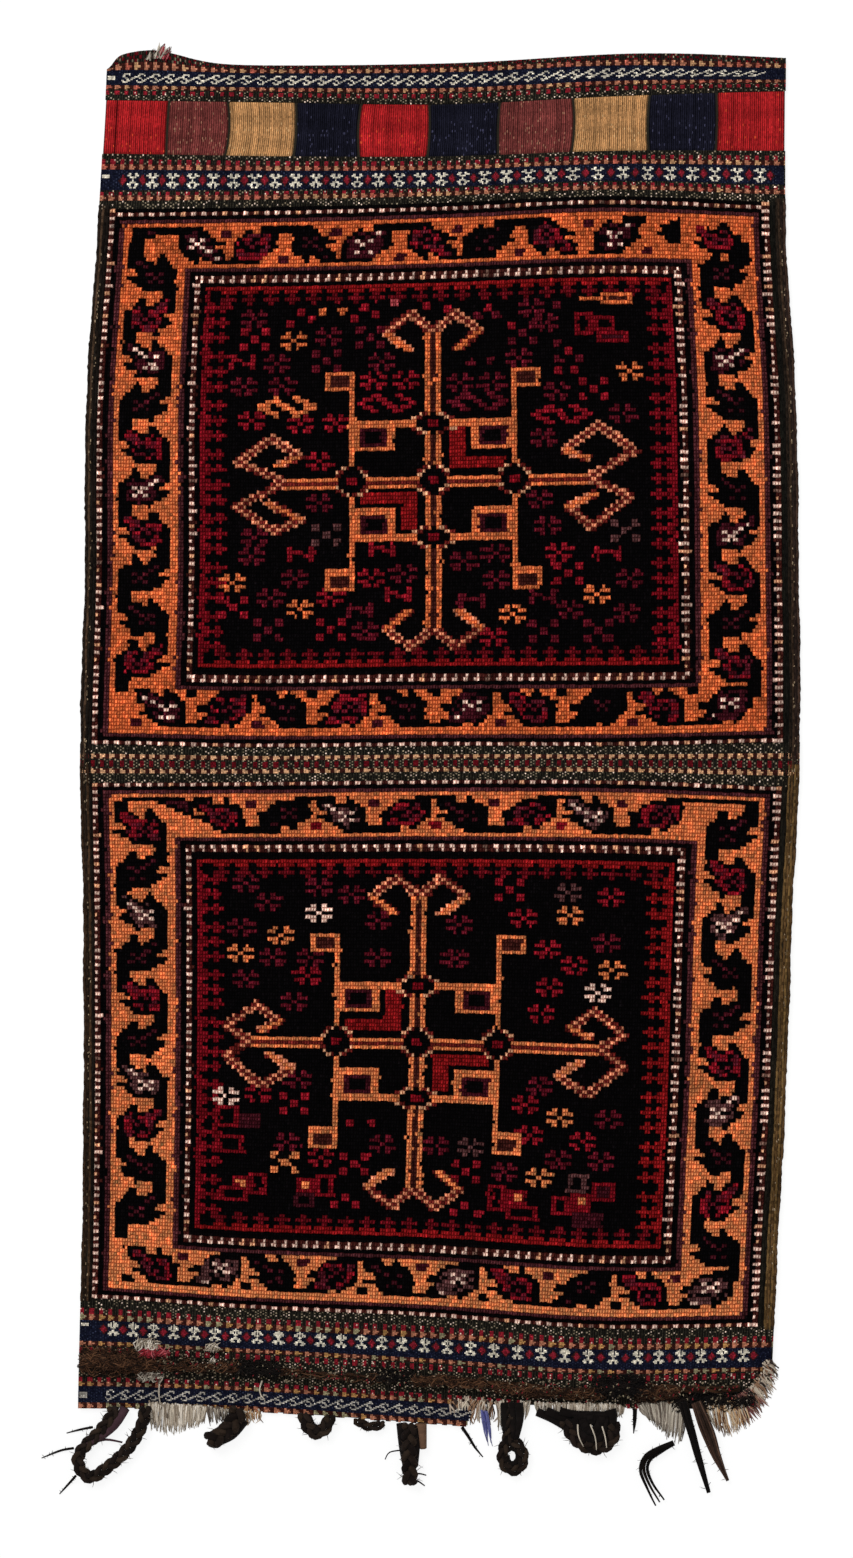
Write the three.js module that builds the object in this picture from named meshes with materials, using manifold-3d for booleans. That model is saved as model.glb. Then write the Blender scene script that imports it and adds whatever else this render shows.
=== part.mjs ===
// A chanteh, a small woven bag, with its side seams open so that it lies as one flat cloth.
// Millimetres, +Z up. The origin is the middle of the fold, on the underside. The front panel
// lies towards +Y and the end with the closing loops towards -Y.
import * as THREE from 'three';
import { mergeVertices } from 'three/addons/utils/BufferGeometryUtils.js';
import Module from 'manifold-3d';

const wasm = await Module();
wasm.setup();

// Lengths of the weaving along its middle, from the plain end to the end with the loops
const TOP_WEAVE = 81;
const UPPER_PANEL = 315;
const FOLD_WEAVE = 20;
const LOWER_PANEL = 311;
const BOTTOM_WEAVE = 62.5;

const CLOTH_WIDTH = 419;
const LEFT_SELVEDGE = 7;
const RIGHT_SELVEDGE = 10;

// Thicknesses
const GROUND = 2;
const DARK_PILE = 1.2;
const BRIGHT_PILE = 1.2;
const BROCADE = 0.6;
const TAPESTRY = 0.9;
const TAPESTRY_RIB = 0.3;
const SELVEDGE_RIB = 1.3;
const RIDGE = 0.4;
const FRINGE = 1.2;

// How far the edges stand in from the widest line, at even stations from top to bottom
const LEFT_INSET = [16.8, 11, 4.6, 3.8, 1.2, 2.9, 3.2, 2.3, 0];
const RIGHT_INSET = [8.1, 8.1, 2.3, 0.6, 0, 4.6, 8.1, 13.3, 17.4];

// How far each row of weaving rises from straight, at even stations from left to right
const TOP_EDGE_RISE = [0.6, -1.2, 0, 3.5, 0.6];
const SQUARES_TOP_RISE = [2.3, 0.9, 0, 4.6, 7.5];
const SQUARES_FOOT_RISE = [1.5, 0, 0, 3.2, 3.2];
const UPPER_TOP_RISE = [-3.8, -2.6, 0, 3.8, 0.3];
const UPPER_FOOT_RISE = [1.2, -0.9, 0, 0, 2.3];
const LOWER_TOP_RISE = [-1.7, -1.2, 0, -0.3, -4.1];
const LOWER_FOOT_RISE = [11, 4.4, 0, -7, -5.8];
const BOTTOM_EDGE_RISE = [11, 9.3, 0, -6, -4];

// Slit tapestry: ten squares by their share of the width, with slits between them
const SQUARES_BELOW_EDGE = 23.5;
const SQUARE_LENGTH = 30.5;
const SQUARE_SIDES = [0, 0.094, 0.18, 0.28, 0.376, 0.476, 0.58, 0.687, 0.8, 0.898, 1];
const SQUARE_GAP = 1.2;
const SLIT_WIDTH = 0.8;
const SLIT_SHARE = 0.86;
const RIBS_IN_SQUARE = 5;

// Brocaded bands and raised rows of the flatweave
const STAR_PITCH = 12.6;
const STAR_BAND = 10;
const STAR_LINE = 1.3;
const STAR_HALF = 5.6;
const TOP_STARS_ABOVE_PILE = 9.5;
const BOTTOM_STARS_BELOW_PILE = 10.5;
const BAND_INSET = 1.5;
const RIDGE_WIDTH = 3;
const RIDGE_ROWS_BELOW_TOP = [9.5, 18, 59];
const RIDGE_ROWS_OFF_FOLD = [4.5, -4.5];
const RIDGE_ROWS_ABOVE_BOTTOM = [54.5, 38, 19];
const WORN_RIDGE_ABOVE_BOTTOM = 9;

// Knotted pile
const KNOTS_ACROSS = 126;
const KNOT_ROWS = 143;
const YARN_GAP = 0.12;
const OUTER_GUARD = [0, 3];
const BORDER = [3, 15];
const INNER_GUARD = [16.6, 18.2];
const SAWTOOTH_BASE = [19, 20];
const TOOTH_TIP = 23;
const TEETH_ACROSS = 21;
const TEETH_DOWN = 26;
const SIDE_LEAVES = 10;
const FIRST_SIDE_LEAF = 18;
const END_LEAVES = 9;
const FIRST_END_LEAF = 18;
const END_LEAF_GAP = 1.25;
const LEAF_AREA = 10;
const UPPER_MEDALLION = { column: 62, row: 73 };
const LOWER_MEDALLION = { column: 59.5, row: 70 };

// The worn edge, by shares of the width and heights above the bottom edge, and the locks of warp on it
const FRAY_SHARES = [0.56, 0.575, 0.7, 0.83, 0.9, 0.975, 1];
const FRAY_HEIGHTS = [0, 13, 16, 15, 10, 14, 33];
const LEFT_LOCK_SHARES = [0.103, 0.215];
const LEFT_LOCKS = [13, 16, 14, 15, 12, 8, 4];
const RIGHT_LOCKS = [8, 7, 4, 4, 9, 10, 9, 8.5, 8.5, 8.5, 8.5, 8.5, 8.5, 9, 9, 12, 18, 14, 9];
const CORNER_LOCKS = [8, 10, 9, 7];

// Goat hair
const COUCHED_CORD = 7;
const COUCHED_ABOVE_EDGE = 26;
const COUCHED_LEFT_INSET = 5.5;
const COUCHED_RIGHT_INSET = 19.5;
const SEAM_GAP = 0.4;
const VALLEY = 0.25;
const CORD_SIDES = 8;

const DYES = {
  dark: 0x2b2a25, navy: 0x1a1c30, black: 0x120f15, red: 0x9c1f28, brightRed: 0xb8242a, mauve: 0x5f3338,
  tan: 0xb58f5c, orange: 0xd27c41, plum: 0x4a1f28, ivory: 0xdccfba, hair: 0x32251d, selvedge: 0x3a3026,
};

const SQUARE_DYES = [
  'brightRed', 'mauve', 'tan', 'navy', 'brightRed', 'navy', 'mauve', 'tan', 'navy', 'brightRed',
];

const CLOTH_LENGTH = TOP_WEAVE + UPPER_PANEL + FOLD_WEAVE + LOWER_PANEL + BOTTOM_WEAVE;
const TOP_EDGE = FOLD_WEAVE / 2 + UPPER_PANEL + TOP_WEAVE;
const BOTTOM_EDGE = TOP_EDGE - CLOTH_LENGTH;
const SQUARES_TOP = TOP_EDGE - SQUARES_BELOW_EDGE;
const SQUARES_FOOT = SQUARES_TOP - SQUARE_LENGTH;
const HALF_WIDTH = CLOTH_WIDTH / 2;
const PILE_LEFT = LEFT_SELVEDGE - HALF_WIDTH;
const PILE_RIGHT = HALF_WIDTH - RIGHT_SELVEDGE;
const KNOT_WIDTH = (PILE_RIGHT - PILE_LEFT) / KNOTS_ACROSS;
const SIDE_LEAF_PITCH = (KNOT_ROWS - 2 * FIRST_SIDE_LEAF) / (SIDE_LEAVES - 1);
const END_LEAF_PITCH = (KNOTS_ACROSS - 2 * FIRST_END_LEAF) / (END_LEAVES - 1);
const BAND_LEFT = PILE_LEFT + BAND_INSET;
const BAND_RIGHT = PILE_RIGHT - BAND_INSET;

const ROWS = [
  { y: TOP_EDGE, rise: TOP_EDGE_RISE },
  { y: SQUARES_TOP, rise: SQUARES_TOP_RISE },
  { y: SQUARES_FOOT, rise: SQUARES_FOOT_RISE },
  { y: TOP_EDGE - TOP_WEAVE, rise: UPPER_TOP_RISE },
  { y: FOLD_WEAVE / 2, rise: UPPER_FOOT_RISE },
  { y: -FOLD_WEAVE / 2, rise: LOWER_TOP_RISE },
  { y: BOTTOM_EDGE + BOTTOM_WEAVE, rise: LOWER_FOOT_RISE },
  { y: BOTTOM_EDGE, rise: BOTTOM_EDGE_RISE },
];

// The stations where the cloth's rows and edges change direction
const evenly = (count) => Array.from({ length: count }, (_, i) => i / (count - 1));
const X_STATIONS = evenly(TOP_EDGE_RISE.length).map((share) => (share - 0.5) * CLOTH_WIDTH);
const EDGE_STATIONS = evenly(LEFT_INSET.length).map((share) => TOP_EDGE - share * CLOTH_LENGTH);

const point = (x, y) => new THREE.Vector2(x, y);

function between(values, share) {
  const at = THREE.MathUtils.clamp(share, 0, 1) * (values.length - 1);
  const first = Math.min(Math.floor(at), values.length - 2);
  return THREE.MathUtils.lerp(values[first], values[first + 1], at - first);
}

// Where a point of the straight weaving plan lies on the slightly uneven cloth
function place(x, y) {
  const across = x / CLOTH_WIDTH + 0.5;
  const down = (TOP_EDGE - y) / CLOTH_LENGTH;
  const left = between(LEFT_INSET, down) - HALF_WIDTH;
  const right = HALF_WIDTH - between(RIGHT_INSET, down);
  const next = ROWS.findIndex((row) => row.y < y);
  const below = next < 0 ? ROWS.length - 1 : Math.max(next, 1);
  const [upper, lower] = [ROWS[below - 1], ROWS[below]];
  const share = THREE.MathUtils.clamp((upper.y - y) / (upper.y - lower.y), 0, 1);
  const rise = THREE.MathUtils.lerp(between(upper.rise, across), between(lower.rise, across), share);
  return point(THREE.MathUtils.lerp(left, right, across), y + rise);
}

const laid = (outline) => outline.map((at) => place(at.x, at.y));

function crossings(from, to, stations) {
  const shares = stations.map((at) => (at - from) / (to - from));
  return shares.filter((share) => share > 0.001 && share < 0.999).sort((a, b) => a - b);
}

// A long outline laid on the cloth, with extra points where the cloth bends, so that neighbours bend alike
function laidLong(outline) {
  const bends = outline.flatMap((from, i) => {
    const to = outline[(i + 1) % outline.length];
    const level = Math.abs(to.x - from.x) > Math.abs(to.y - from.y);
    const cuts = level ? crossings(from.x, to.x, X_STATIONS) : crossings(from.y, to.y, EDGE_STATIONS);
    return [from, ...cuts.map((share) => from.clone().lerp(to, share))];
  });
  return laid(bends);
}

function rectangle(left, right, top, foot) {
  return [point(left, top), point(left, foot), point(right, foot), point(right, top)];
}

// A line of the given width along a row of points
function ribbon(line, width) {
  const edge = (side) => line.map((at, i) => {
    const before = line[Math.max(i - 1, 0)];
    const after = line[Math.min(i + 1, line.length - 1)];
    const along = after.clone().sub(before).normalize();
    return point(-along.y, along.x).multiplyScalar((side * width) / 2).add(at);
  });
  return [...edge(1), ...edge(-1).reverse()];
}

// A flat layer with the outline and holes given, its foot at the given height
function layer(outline, holes, foot, height) {
  const clockwise = THREE.ShapeUtils.isClockWise(outline);
  const shape = new THREE.Shape(clockwise ? outline.toReversed() : outline);
  shape.holes = holes.map((hole) => new THREE.Path(hole));
  return new THREE.ExtrudeGeometry(shape, { depth: height, bevelEnabled: false }).translate(0, 0, foot);
}

// Moves a solid made on the straight weaving plan to its place on the cloth
function lay(geometry) {
  const at = geometry.attributes.position;
  for (let i = 0; i < at.count; i += 1) {
    const spot = place(at.getX(i), at.getY(i));
    at.setXY(i, spot.x, spot.y);
  }
  return geometry;
}

// A profile of [x, height] points carried straight down the cloth through the rows given
function strip(profile, rows, foot) {
  const spans = rows.length - 1;
  const shape = new THREE.Shape(profile.map(([x, height]) => point(x, height)));
  const geometry = new THREE.ExtrudeGeometry(shape, { depth: spans, steps: spans, bevelEnabled: false });
  const at = geometry.attributes.position;
  for (let i = 0; i < at.count; i += 1) {
    const spot = place(at.getX(i), rows[Math.round(at.getZ(i))]);
    at.setXYZ(i, spot.x, spot.y, foot + at.getY(i));
  }
  geometry.computeVertexNormals();
  return geometry;
}

function solid(geometry) {
  const bare = geometry.clone();
  bare.deleteAttribute('normal');
  bare.deleteAttribute('uv');
  const merged = mergeVertices(bare);
  const vertProperties = Float32Array.from(merged.attributes.position.array);
  const triVerts = Uint32Array.from(merged.index.array);
  return new wasm.Manifold(new wasm.Mesh({ numProp: 3, vertProperties, triVerts }));
}

function geometryOf(body) {
  const { vertProperties, triVerts } = body.getMesh();
  const geometry = new THREE.BufferGeometry();
  geometry.setAttribute('position', new THREE.BufferAttribute(vertProperties, 3));
  geometry.setIndex(new THREE.BufferAttribute(triVerts, 1));
  return geometry;
}

const joined = (geometries) => geometries.map(solid).reduce((sum, body) => sum.add(body));

const bag = new THREE.Group();

function add(name, geometry, dye) {
  const material = new THREE.MeshStandardMaterial({ color: DYES[dye], roughness: 0.95, metalness: 0 });
  const mesh = new THREE.Mesh(geometry, material);
  mesh.name = name;
  bag.add(mesh);
}

// Ground cloth. The lower end is worn away along the points of FRAY_SHARES and FRAY_HEIGHTS.
const frayed = FRAY_SHARES.map((share, i) => {
  return point((share - 0.5) * CLOTH_WIDTH, BOTTOM_EDGE + FRAY_HEIGHTS[i]);
});

function groundCloth() {
  const [left, right] = [-HALF_WIDTH, HALF_WIDTH];
  const corners = [point(right, TOP_EDGE), point(left, TOP_EDGE), point(left, BOTTOM_EDGE)];
  const slits = SQUARE_SIDES.slice(1, -1).map((share) => {
    const x = (share - 0.5) * CLOTH_WIDTH;
    const middle = (SQUARES_TOP + SQUARES_FOOT) / 2;
    const reach = (SQUARE_LENGTH * SLIT_SHARE) / 2;
    return rectangle(x - SLIT_WIDTH / 2, x + SLIT_WIDTH / 2, middle + reach, middle - reach);
  });
  const cloth = layer(laidLong([...corners, ...frayed]), slits.map(laid), 0, GROUND);
  const rows = [
    ...RIDGE_ROWS_BELOW_TOP.map((below) => TOP_EDGE - below),
    ...RIDGE_ROWS_OFF_FOLD,
    ...RIDGE_ROWS_ABOVE_BOTTOM.map((above) => BOTTOM_EDGE + above),
  ];
  const ridge = (y, right) => {
    const half = RIDGE_WIDTH / 2;
    return layer(laidLong(rectangle(BAND_LEFT, right, y + half, y - half)), [], GROUND, RIDGE);
  };
  const whole = rows.map((y) => ridge(y, BAND_RIGHT));
  const worn = ridge(BOTTOM_EDGE + WORN_RIDGE_ABOVE_BOTTOM, frayed[0].x - BAND_INSET);
  return geometryOf(joined([cloth, ...whole, worn]));
}

// Ten squares, each ribbed along the warps
function tapestrySquare(left, right) {
  const width = right - left;
  const ribs = evenly(2 * RIBS_IN_SQUARE + 1).map((share, i) => [
    right - share * width,
    TAPESTRY - (i % 2 === 0 ? TAPESTRY_RIB : 0),
  ]);
  return strip([[left, 0], [right, 0], ...ribs], [SQUARES_TOP, SQUARES_FOOT], GROUND);
}

function addSquares() {
  SQUARE_DYES.forEach((dye, i) => {
    const left = (SQUARE_SIDES[i] - 0.5) * CLOTH_WIDTH + SQUARE_GAP / 2;
    const right = (SQUARE_SIDES[i + 1] - 0.5) * CLOTH_WIDTH - SQUARE_GAP / 2;
    add(`tapestry_square_${String(i + 1).padStart(2, '0')}`, tapestrySquare(left, right), dye);
  });
}

// A row of white stars: what is left of a strip between diamonds
function starBand(middle) {
  const count = Math.floor((BAND_RIGHT - BAND_LEFT) / STAR_PITCH);
  const tall = STAR_BAND / 2 - STAR_LINE;
  const diamonds = Array.from({ length: count }, (_, i) => {
    const x = (BAND_LEFT + BAND_RIGHT) / 2 + (i - (count - 1) / 2) * STAR_PITCH;
    return [
      point(x - STAR_HALF, middle), point(x, middle - tall),
      point(x + STAR_HALF, middle), point(x, middle + tall),
    ];
  });
  const outline = rectangle(BAND_LEFT, BAND_RIGHT, middle + STAR_BAND / 2, middle - STAR_BAND / 2);
  const band = solid(layer(laidLong(outline), [], GROUND, BROCADE));
  const cuts = diamonds.map((diamond) => layer(laid(diamond), [], 0, GROUND + 2 * BROCADE));
  return geometryOf(band.subtract(joined(cuts)));
}

// A wrapped selvedge: rounded cords side by side along the pile
function selvedge(left, right, cords) {
  const crowns = evenly(2 * cords + 1).map((share, i) => [
    THREE.MathUtils.lerp(right, left, share),
    i % 2 === 0 ? SELVEDGE_RIB / 2 : SELVEDGE_RIB,
  ]);
  const top = TOP_EDGE - TOP_WEAVE;
  const foot = BOTTOM_EDGE + BOTTOM_WEAVE;
  const rows = [top, ...EDGE_STATIONS.filter((y) => y < top && y > foot), foot];
  return strip([[left, 0], [right, 0], ...crowns], rows, GROUND);
}

// Knotted panels
function addPanel(name, top, length) {
  const rowHeight = length / KNOT_ROWS;
  const pileTop = GROUND + DARK_PILE;
  const knot = (column, row) => point(PILE_LEFT + column * KNOT_WIDTH, top - row * rowHeight);
  const frame = (inset) => [
    knot(inset, inset), knot(inset, KNOT_ROWS - inset),
    knot(KNOTS_ACROSS - inset, KNOT_ROWS - inset), knot(KNOTS_ACROSS - inset, inset),
  ];
  const bright = (outline, holes) => layer(outline, holes, pileTop, BRIGHT_PILE);
  const ring = ([outer, inner], holes = []) => {
    const opening = laidLong(frame(inner - YARN_GAP));
    return bright(laidLong(frame(outer + YARN_GAP)), [opening, ...holes]);
  };

  // Leaves hang on a vine that swings from side to side down the border. One boundary of each leaf
  // is serrated, the other has its tip. Points are knots across, and shares of the pitch from the
  // leaf's middle.
  const serrated = [[2.6, -0.5], [5.3, -0.25], [6.5, -0.42], [9.7, -0.21]];
  const tipped = [[0.3, -0.5], [0.3, -0.13], [2.5, -0.03], [0.6, 0.04], [7.6, 0.34]];
  const mirrored = (points) => points.map(([across, share]) => [LEAF_AREA - across, share]);
  const vine = (side) => {
    const outer = [];
    const inner = [];
    for (let i = 0; i < SIDE_LEAVES; i += 1) {
      const middle = FIRST_SIDE_LEAF + i * SIDE_LEAF_PITCH;
      const swung = i % 2 === 1;
      const spot = ([across, share]) => {
        const column = BORDER[0] + 1 + across;
        return knot(side < 0 ? column : KNOTS_ACROSS - column, middle + share * SIDE_LEAF_PITCH);
      };
      outer.push(...(swung ? mirrored(serrated) : tipped).map(spot));
      inner.push(...(swung ? mirrored(tipped) : serrated).map(spot));
    }
    return [...outer, ...inner.reverse()];
  };
  // Along the ends each leaf stands alone. Points are shares of its width from its middle, and rows.
  const leafShape = [[-0.5, 0.4], [0, 0.4], [0.31, 3.7], [0.5, 9], [-0.15, 7.2], [-0.18, 9.2], [-0.5, 6.1]];
  const leafWidth = END_LEAF_PITCH - END_LEAF_GAP;
  const endLeaf = (i, down) => {
    const middle = FIRST_END_LEAF + i * END_LEAF_PITCH;
    const side = i % 2 === 0 ? 1 : -1;
    return leafShape.map(([share, row]) => {
      const depth = BORDER[0] + 1 + row;
      return knot(middle + side * share * leafWidth, down ? KNOT_ROWS - depth : depth);
    });
  };
  const leaves = Array.from({ length: END_LEAVES }, (_, i) => [endLeaf(i, false), endLeaf(i, true)]).flat();
  const border = ring(BORDER, [vine(-1), vine(1), ...leaves].map(laid));

  // Red teeth point in from a frame
  const low = SAWTOOTH_BASE[1];
  const right = KNOTS_ACROSS - low;
  const foot = KNOT_ROWS - low;
  const teeth = (count, from, to, spot) => evenly(count + 1).slice(0, -1).flatMap((share) => {
    const valley = THREE.MathUtils.lerp(from, to, share);
    return [spot(valley, low), spot(valley + (to - from) / count / 2, TOOTH_TIP)];
  });
  const toothed = [
    ...teeth(TEETH_DOWN, low, foot, (at, depth) => knot(depth, at)),
    ...teeth(TEETH_ACROSS, low, right, (at, depth) => knot(at, KNOT_ROWS - depth)),
    ...teeth(TEETH_DOWN, foot, low, (at, depth) => knot(KNOTS_ACROSS - depth, at)),
    ...teeth(TEETH_ACROSS, right, low, (at, depth) => knot(at, depth)),
  ];
  const sawtooth = bright(laidLong(frame(SAWTOOTH_BASE[0])), [laid(toothed)]);

  add(`${name}_dark_pile`, layer(laidLong(frame(YARN_GAP)), [], GROUND, DARK_PILE), 'black');
  add(`${name}_outer_guard`, ring(OUTER_GUARD), 'plum');
  add(`${name}_leaf_border`, border, 'orange');
  add(`${name}_inner_guard`, ring(INNER_GUARD), 'ivory');
  add(`${name}_sawtooth`, sawtooth, 'red');
  return knot;
}

// A medallion: stem, arms, a cross of boxes and hooked ends. All its places are knots to the right and
// rows upwards from its middle, which lies at the column and row given.
const STEM_REACH = 41;
const ARM_REACH = 30.5;
const BAR_HALF = 1.5;
const SLOT_HALF = 0.45;
const POST = 15;
const POST_HALF = 0.6;
const POST_REACH = 24;
const NODE_ACROSS = 3.5;
const NODE_UP = 4.5;
const CORNER_BOX = [7, POST, 7.5, 15.5];
const CORNER_BOX_EYE = [9.2, 12.8, 9.7, 13.3];
const END_BOX = [POST - POST_HALF, 20, 23.5, 29];
const END_BOX_EYE = [16, 18.4, 25, 27.5];
const SLOT_STOP = 3;
const HOOK_LINE = 1.7;
const STEM_CURL = [[0.9, -1], [4, 3], [8.7, -2], [4.6, -6.4]];
const ARM_CURL = [[-1, 0.8], [5.7, 6.4], [-0.2, 12.4], [-5.5, 7.4], [-1.9, 4]];
const STEM_HOOK = STEM_CURL.map(([across, up]) => [across, STEM_REACH + up]);
const ARM_HOOK = ARM_CURL.map(([across, up]) => [ARM_REACH + across, up]);
const RED_CORNER = [[3, 13.5], [3, 3], [13, 3], [13, 6], [6, 6], [6, 13.5]];

function addMedallion(name, knot, { column, row }, redQuarters) {
  const spots = (points) => points.map(([across, up]) => knot(column + across, row - up));
  const bright = (outline, holes = []) => layer(outline, holes, GROUND + DARK_PILE, BRIGHT_PILE);
  const flat = (outline, ...holes) => bright(spots(outline), holes.map(spots));
  const hook = (line) => bright(ribbon(spots(line), HOOK_LINE * KNOT_WIDTH));
  const box = (left, right, foot, top) => [[left, foot], [right, foot], [right, top], [left, top]];
  const diamond = (x, y) => [[x - NODE_ACROSS, y], [x, y - NODE_UP], [x + NODE_ACROSS, y], [x, y + NODE_UP]];
  const turned = (line, right, up) => line.map(([x, y]) => [x * right, y * up]);
  const quarters = [[1, 1], [-1, 1], [-1, -1], [1, -1]];
  const nodes = [[0, 0], [0, POST], [0, -POST], [POST, 0], [-POST, 0]];

  const bars = [
    flat(box(-BAR_HALF, BAR_HALF, -STEM_REACH, STEM_REACH)),
    flat(box(-ARM_REACH, ARM_REACH, -BAR_HALF, BAR_HALF)),
    flat(box(-POST - POST_HALF, -POST + POST_HALF, -POST_REACH, POST_REACH)),
    flat(box(POST - POST_HALF, POST + POST_HALF, -POST_REACH, POST_REACH)),
  ];
  quarters.forEach(([right, up]) => {
    const eyed = (outer, eye) => flat(...[outer, eye].map((sides) => turned(box(...sides), right, up)));
    bars.push(eyed(CORNER_BOX, CORNER_BOX_EYE), eyed(END_BOX, END_BOX_EYE));
    bars.push(hook(turned(STEM_HOOK, right, up)), hook(turned(ARM_HOOK, right, up)));
  });
  nodes.forEach(([x, y]) => bars.push(flat(diamond(x, y))));
  const stemSlot = box(-SLOT_HALF, SLOT_HALF, POST + NODE_UP, STEM_REACH - SLOT_STOP);
  const armSlot = box(POST + NODE_ACROSS, ARM_REACH - SLOT_STOP, -SLOT_HALF, SLOT_HALF);
  const slots = [-1, 1].flatMap((way) => [flat(turned(stemSlot, 1, way)), flat(turned(armSlot, way, 1))]);
  add(`${name}_medallion`, lay(geometryOf(joined(bars).subtract(joined(slots)))), 'orange');
  redQuarters.forEach(([right, up], i) => {
    add(`${name}_red_corner_${i + 1}`, lay(flat(turned(RED_CORNER, right, up))), 'red');
  });
}

// Fringe: locks of warp ends that hang from a line of the cloth's edge, with the lengths given
function fringe(edge, lengths) {
  const along = new THREE.Path(edge);
  const line = along.getSpacedPoints(2 * lengths.length);
  const away = (share) => {
    const tangent = along.getTangentAt(share);
    return point(tangent.y, -tangent.x);
  };
  const hung = line.map((at, i) => {
    const length = lengths[Math.min(Math.floor(i / 2), lengths.length - 1)];
    const reach = SEAM_GAP + length * (i % 2 === 0 ? VALLEY : 1);
    return at.clone().add(away(i / (2 * lengths.length)).multiplyScalar(reach));
  });
  const seam = edge.map((at) => at.clone().sub(point(0, SEAM_GAP)));
  return layer(laidLong([...seam, ...hung.reverse()]), [], 0, FRINGE);
}

// A tube of goat hair along hand-chosen points
function cord(points, diameter, steps) {
  const section = new THREE.Shape(
    Array.from({ length: CORD_SIDES }, (_, i) => {
      const angle = (2 * Math.PI * (i + 0.5)) / CORD_SIDES;
      return point(Math.cos(angle), Math.sin(angle)).multiplyScalar(diameter / 2);
    }),
  );
  const path = new THREE.CatmullRomCurve3(points.map(([x, y, z]) => new THREE.Vector3(x, y, z)));
  return new THREE.ExtrudeGeometry(section, { steps, extrudePath: path, bevelEnabled: false });
}

// A cord that lies on the surface under the cloth
const LIFT = 0.1;
const lying = (points, diameter) => points.map(([x, y]) => [x, y, diameter / 2 + LIFT]);

function addLoop(number, diameter, steps, points) {
  add(`closing_loop_${number}`, cord(lying(points, diameter), diameter, steps), 'hair');
}

function addClosingLoops() {
  addLoop(1, 8, 12, [
    [-189, -373.7], [-189.4, -377.6], [-197, -388], [-206, -397], [-209.5, -404], [-207, -411],
    [-201.5, -414.3], [-193, -409], [-183.5, -401], [-176, -391.5], [-172, -383], [-170.8, -377.5],
    [-170.8, -373.8],
  ]);
  addLoop(2, 8, 4, [[-113.6, -375], [-114.6, -380], [-122, -388.5], [-133.4, -394.4]]);
  addLoop(3, 7, 6, [
    [-78, -377.7], [-77.6, -381.4], [-74.5, -386.9], [-70.5, -388.5], [-66.8, -386.5], [-64.2, -381.9],
    [-64, -379],
  ]);
  addLoop(4, 5, 4, [[-46.8, -380.8], [-46.6, -382.6], [-40.2, -385], [-33.8, -384], [-33.6, -382.2]]);
  addLoop(5, 9, 4, [[-17, -383.6], [-17.5, -392], [-17.2, -404], [-16.8, -417.5]]);
  addLoop(6, 7, 9, [
    [40, -377.1], [39.5, -385], [37, -392], [35, -399], [36, -406], [41, -411.5], [47, -410.5],
    [50.3, -404.5], [48.5, -398], [45.6, -394.2],
  ]);
  addLoop(7, 8, 7, [
    [73.7, -381.6], [75.5, -387], [82, -394.5], [90, -397.5], [97, -395.5], [101.3, -389.5], [101, -383.2],
  ]);
  addLoop(8, 5, 6, [
    [136.3, -394.5], [128.2, -398.5], [121.2, -403.1], [118.9, -410.1], [122.4, -419.4], [128.2, -429.2],
  ]);
}

function addStrands() {
  const strands = [
    [2.5, 3, [[13.3, -385.6, 1.4], [17, -391, 1.4], [21, -397.5, 1.4], [25.5, -403, 1.4]]],
    [2.5, 3, [[113.7, -374.8, 2.9], [113.5, -382, 2.9], [113, -389.3, 1.5]]],
    [5, 4, [[143.5, -378.2, 4.3], [147, -390, 4.1], [150, -401, 2.8], [156.6, -423.5, 2.6]]],
    [5, 4, [[152.5, -379.4, 4.3], [157, -391, 4.1], [161, -402, 2.8], [167.6, -416.5, 2.6]]],
  ];
  strands.forEach(([diameter, steps, points], i) => {
    add(`loose_strand_${i + 1}`, cord(points, diameter, steps), 'hair');
  });
  const strays = [
    [[-200.9, -385.2, 4], [-208, -387, 1.3], [-216.3, -389.2, 1]],
    [[-211.9, -397.4, 4], [-219.8, -399.3, 1.3], [-230.8, -403.7, 1]],
    [[-210.7, -413.5, 4], [-214.5, -418, 1.3], [-220.4, -424.6, 1]],
  ];
  strays.forEach((points, i) => add(`stray_strand_${i + 1}`, cord(points, 1.8, 3), 'hair'));
}

function couchedCord() {
  const y = BOTTOM_EDGE + COUCHED_ABOVE_EDGE;
  const left = COUCHED_LEFT_INSET - HALF_WIDTH;
  const right = HALF_WIDTH - COUCHED_RIGHT_INSET;
  const stops = [left, ...X_STATIONS.filter((x) => x > left && x < right), right];
  const height = GROUND + COUCHED_CORD / 2 + SEAM_GAP;
  const points = stops.map((x) => [...place(x, y).toArray(), height]);
  return cord(points, COUCHED_CORD, stops.length - 1);
}

const upperTop = TOP_EDGE - TOP_WEAVE;
const lowerFoot = BOTTOM_EDGE + BOTTOM_WEAVE;

add('ground_cloth', groundCloth(), 'dark');
addSquares();
add('top_star_band', starBand(upperTop + TOP_STARS_ABOVE_PILE + STAR_BAND / 2), 'ivory');
add('bottom_star_band', starBand(lowerFoot - BOTTOM_STARS_BELOW_PILE - STAR_BAND / 2), 'ivory');
add('left_selvedge', selvedge(-HALF_WIDTH, PILE_LEFT - SEAM_GAP, 2), 'selvedge');
add('right_selvedge', selvedge(PILE_RIGHT + SEAM_GAP, HALF_WIDTH, 3), 'selvedge');

const upperKnot = addPanel('upper', upperTop, UPPER_PANEL);
addMedallion('upper', upperKnot, UPPER_MEDALLION, [[1, 1], [-1, -1]]);
const lowerKnot = addPanel('lower', -FOLD_WEAVE / 2, LOWER_PANEL);
addMedallion('lower', lowerKnot, LOWER_MEDALLION, [[-1, 1], [1, -1]]);

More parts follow.
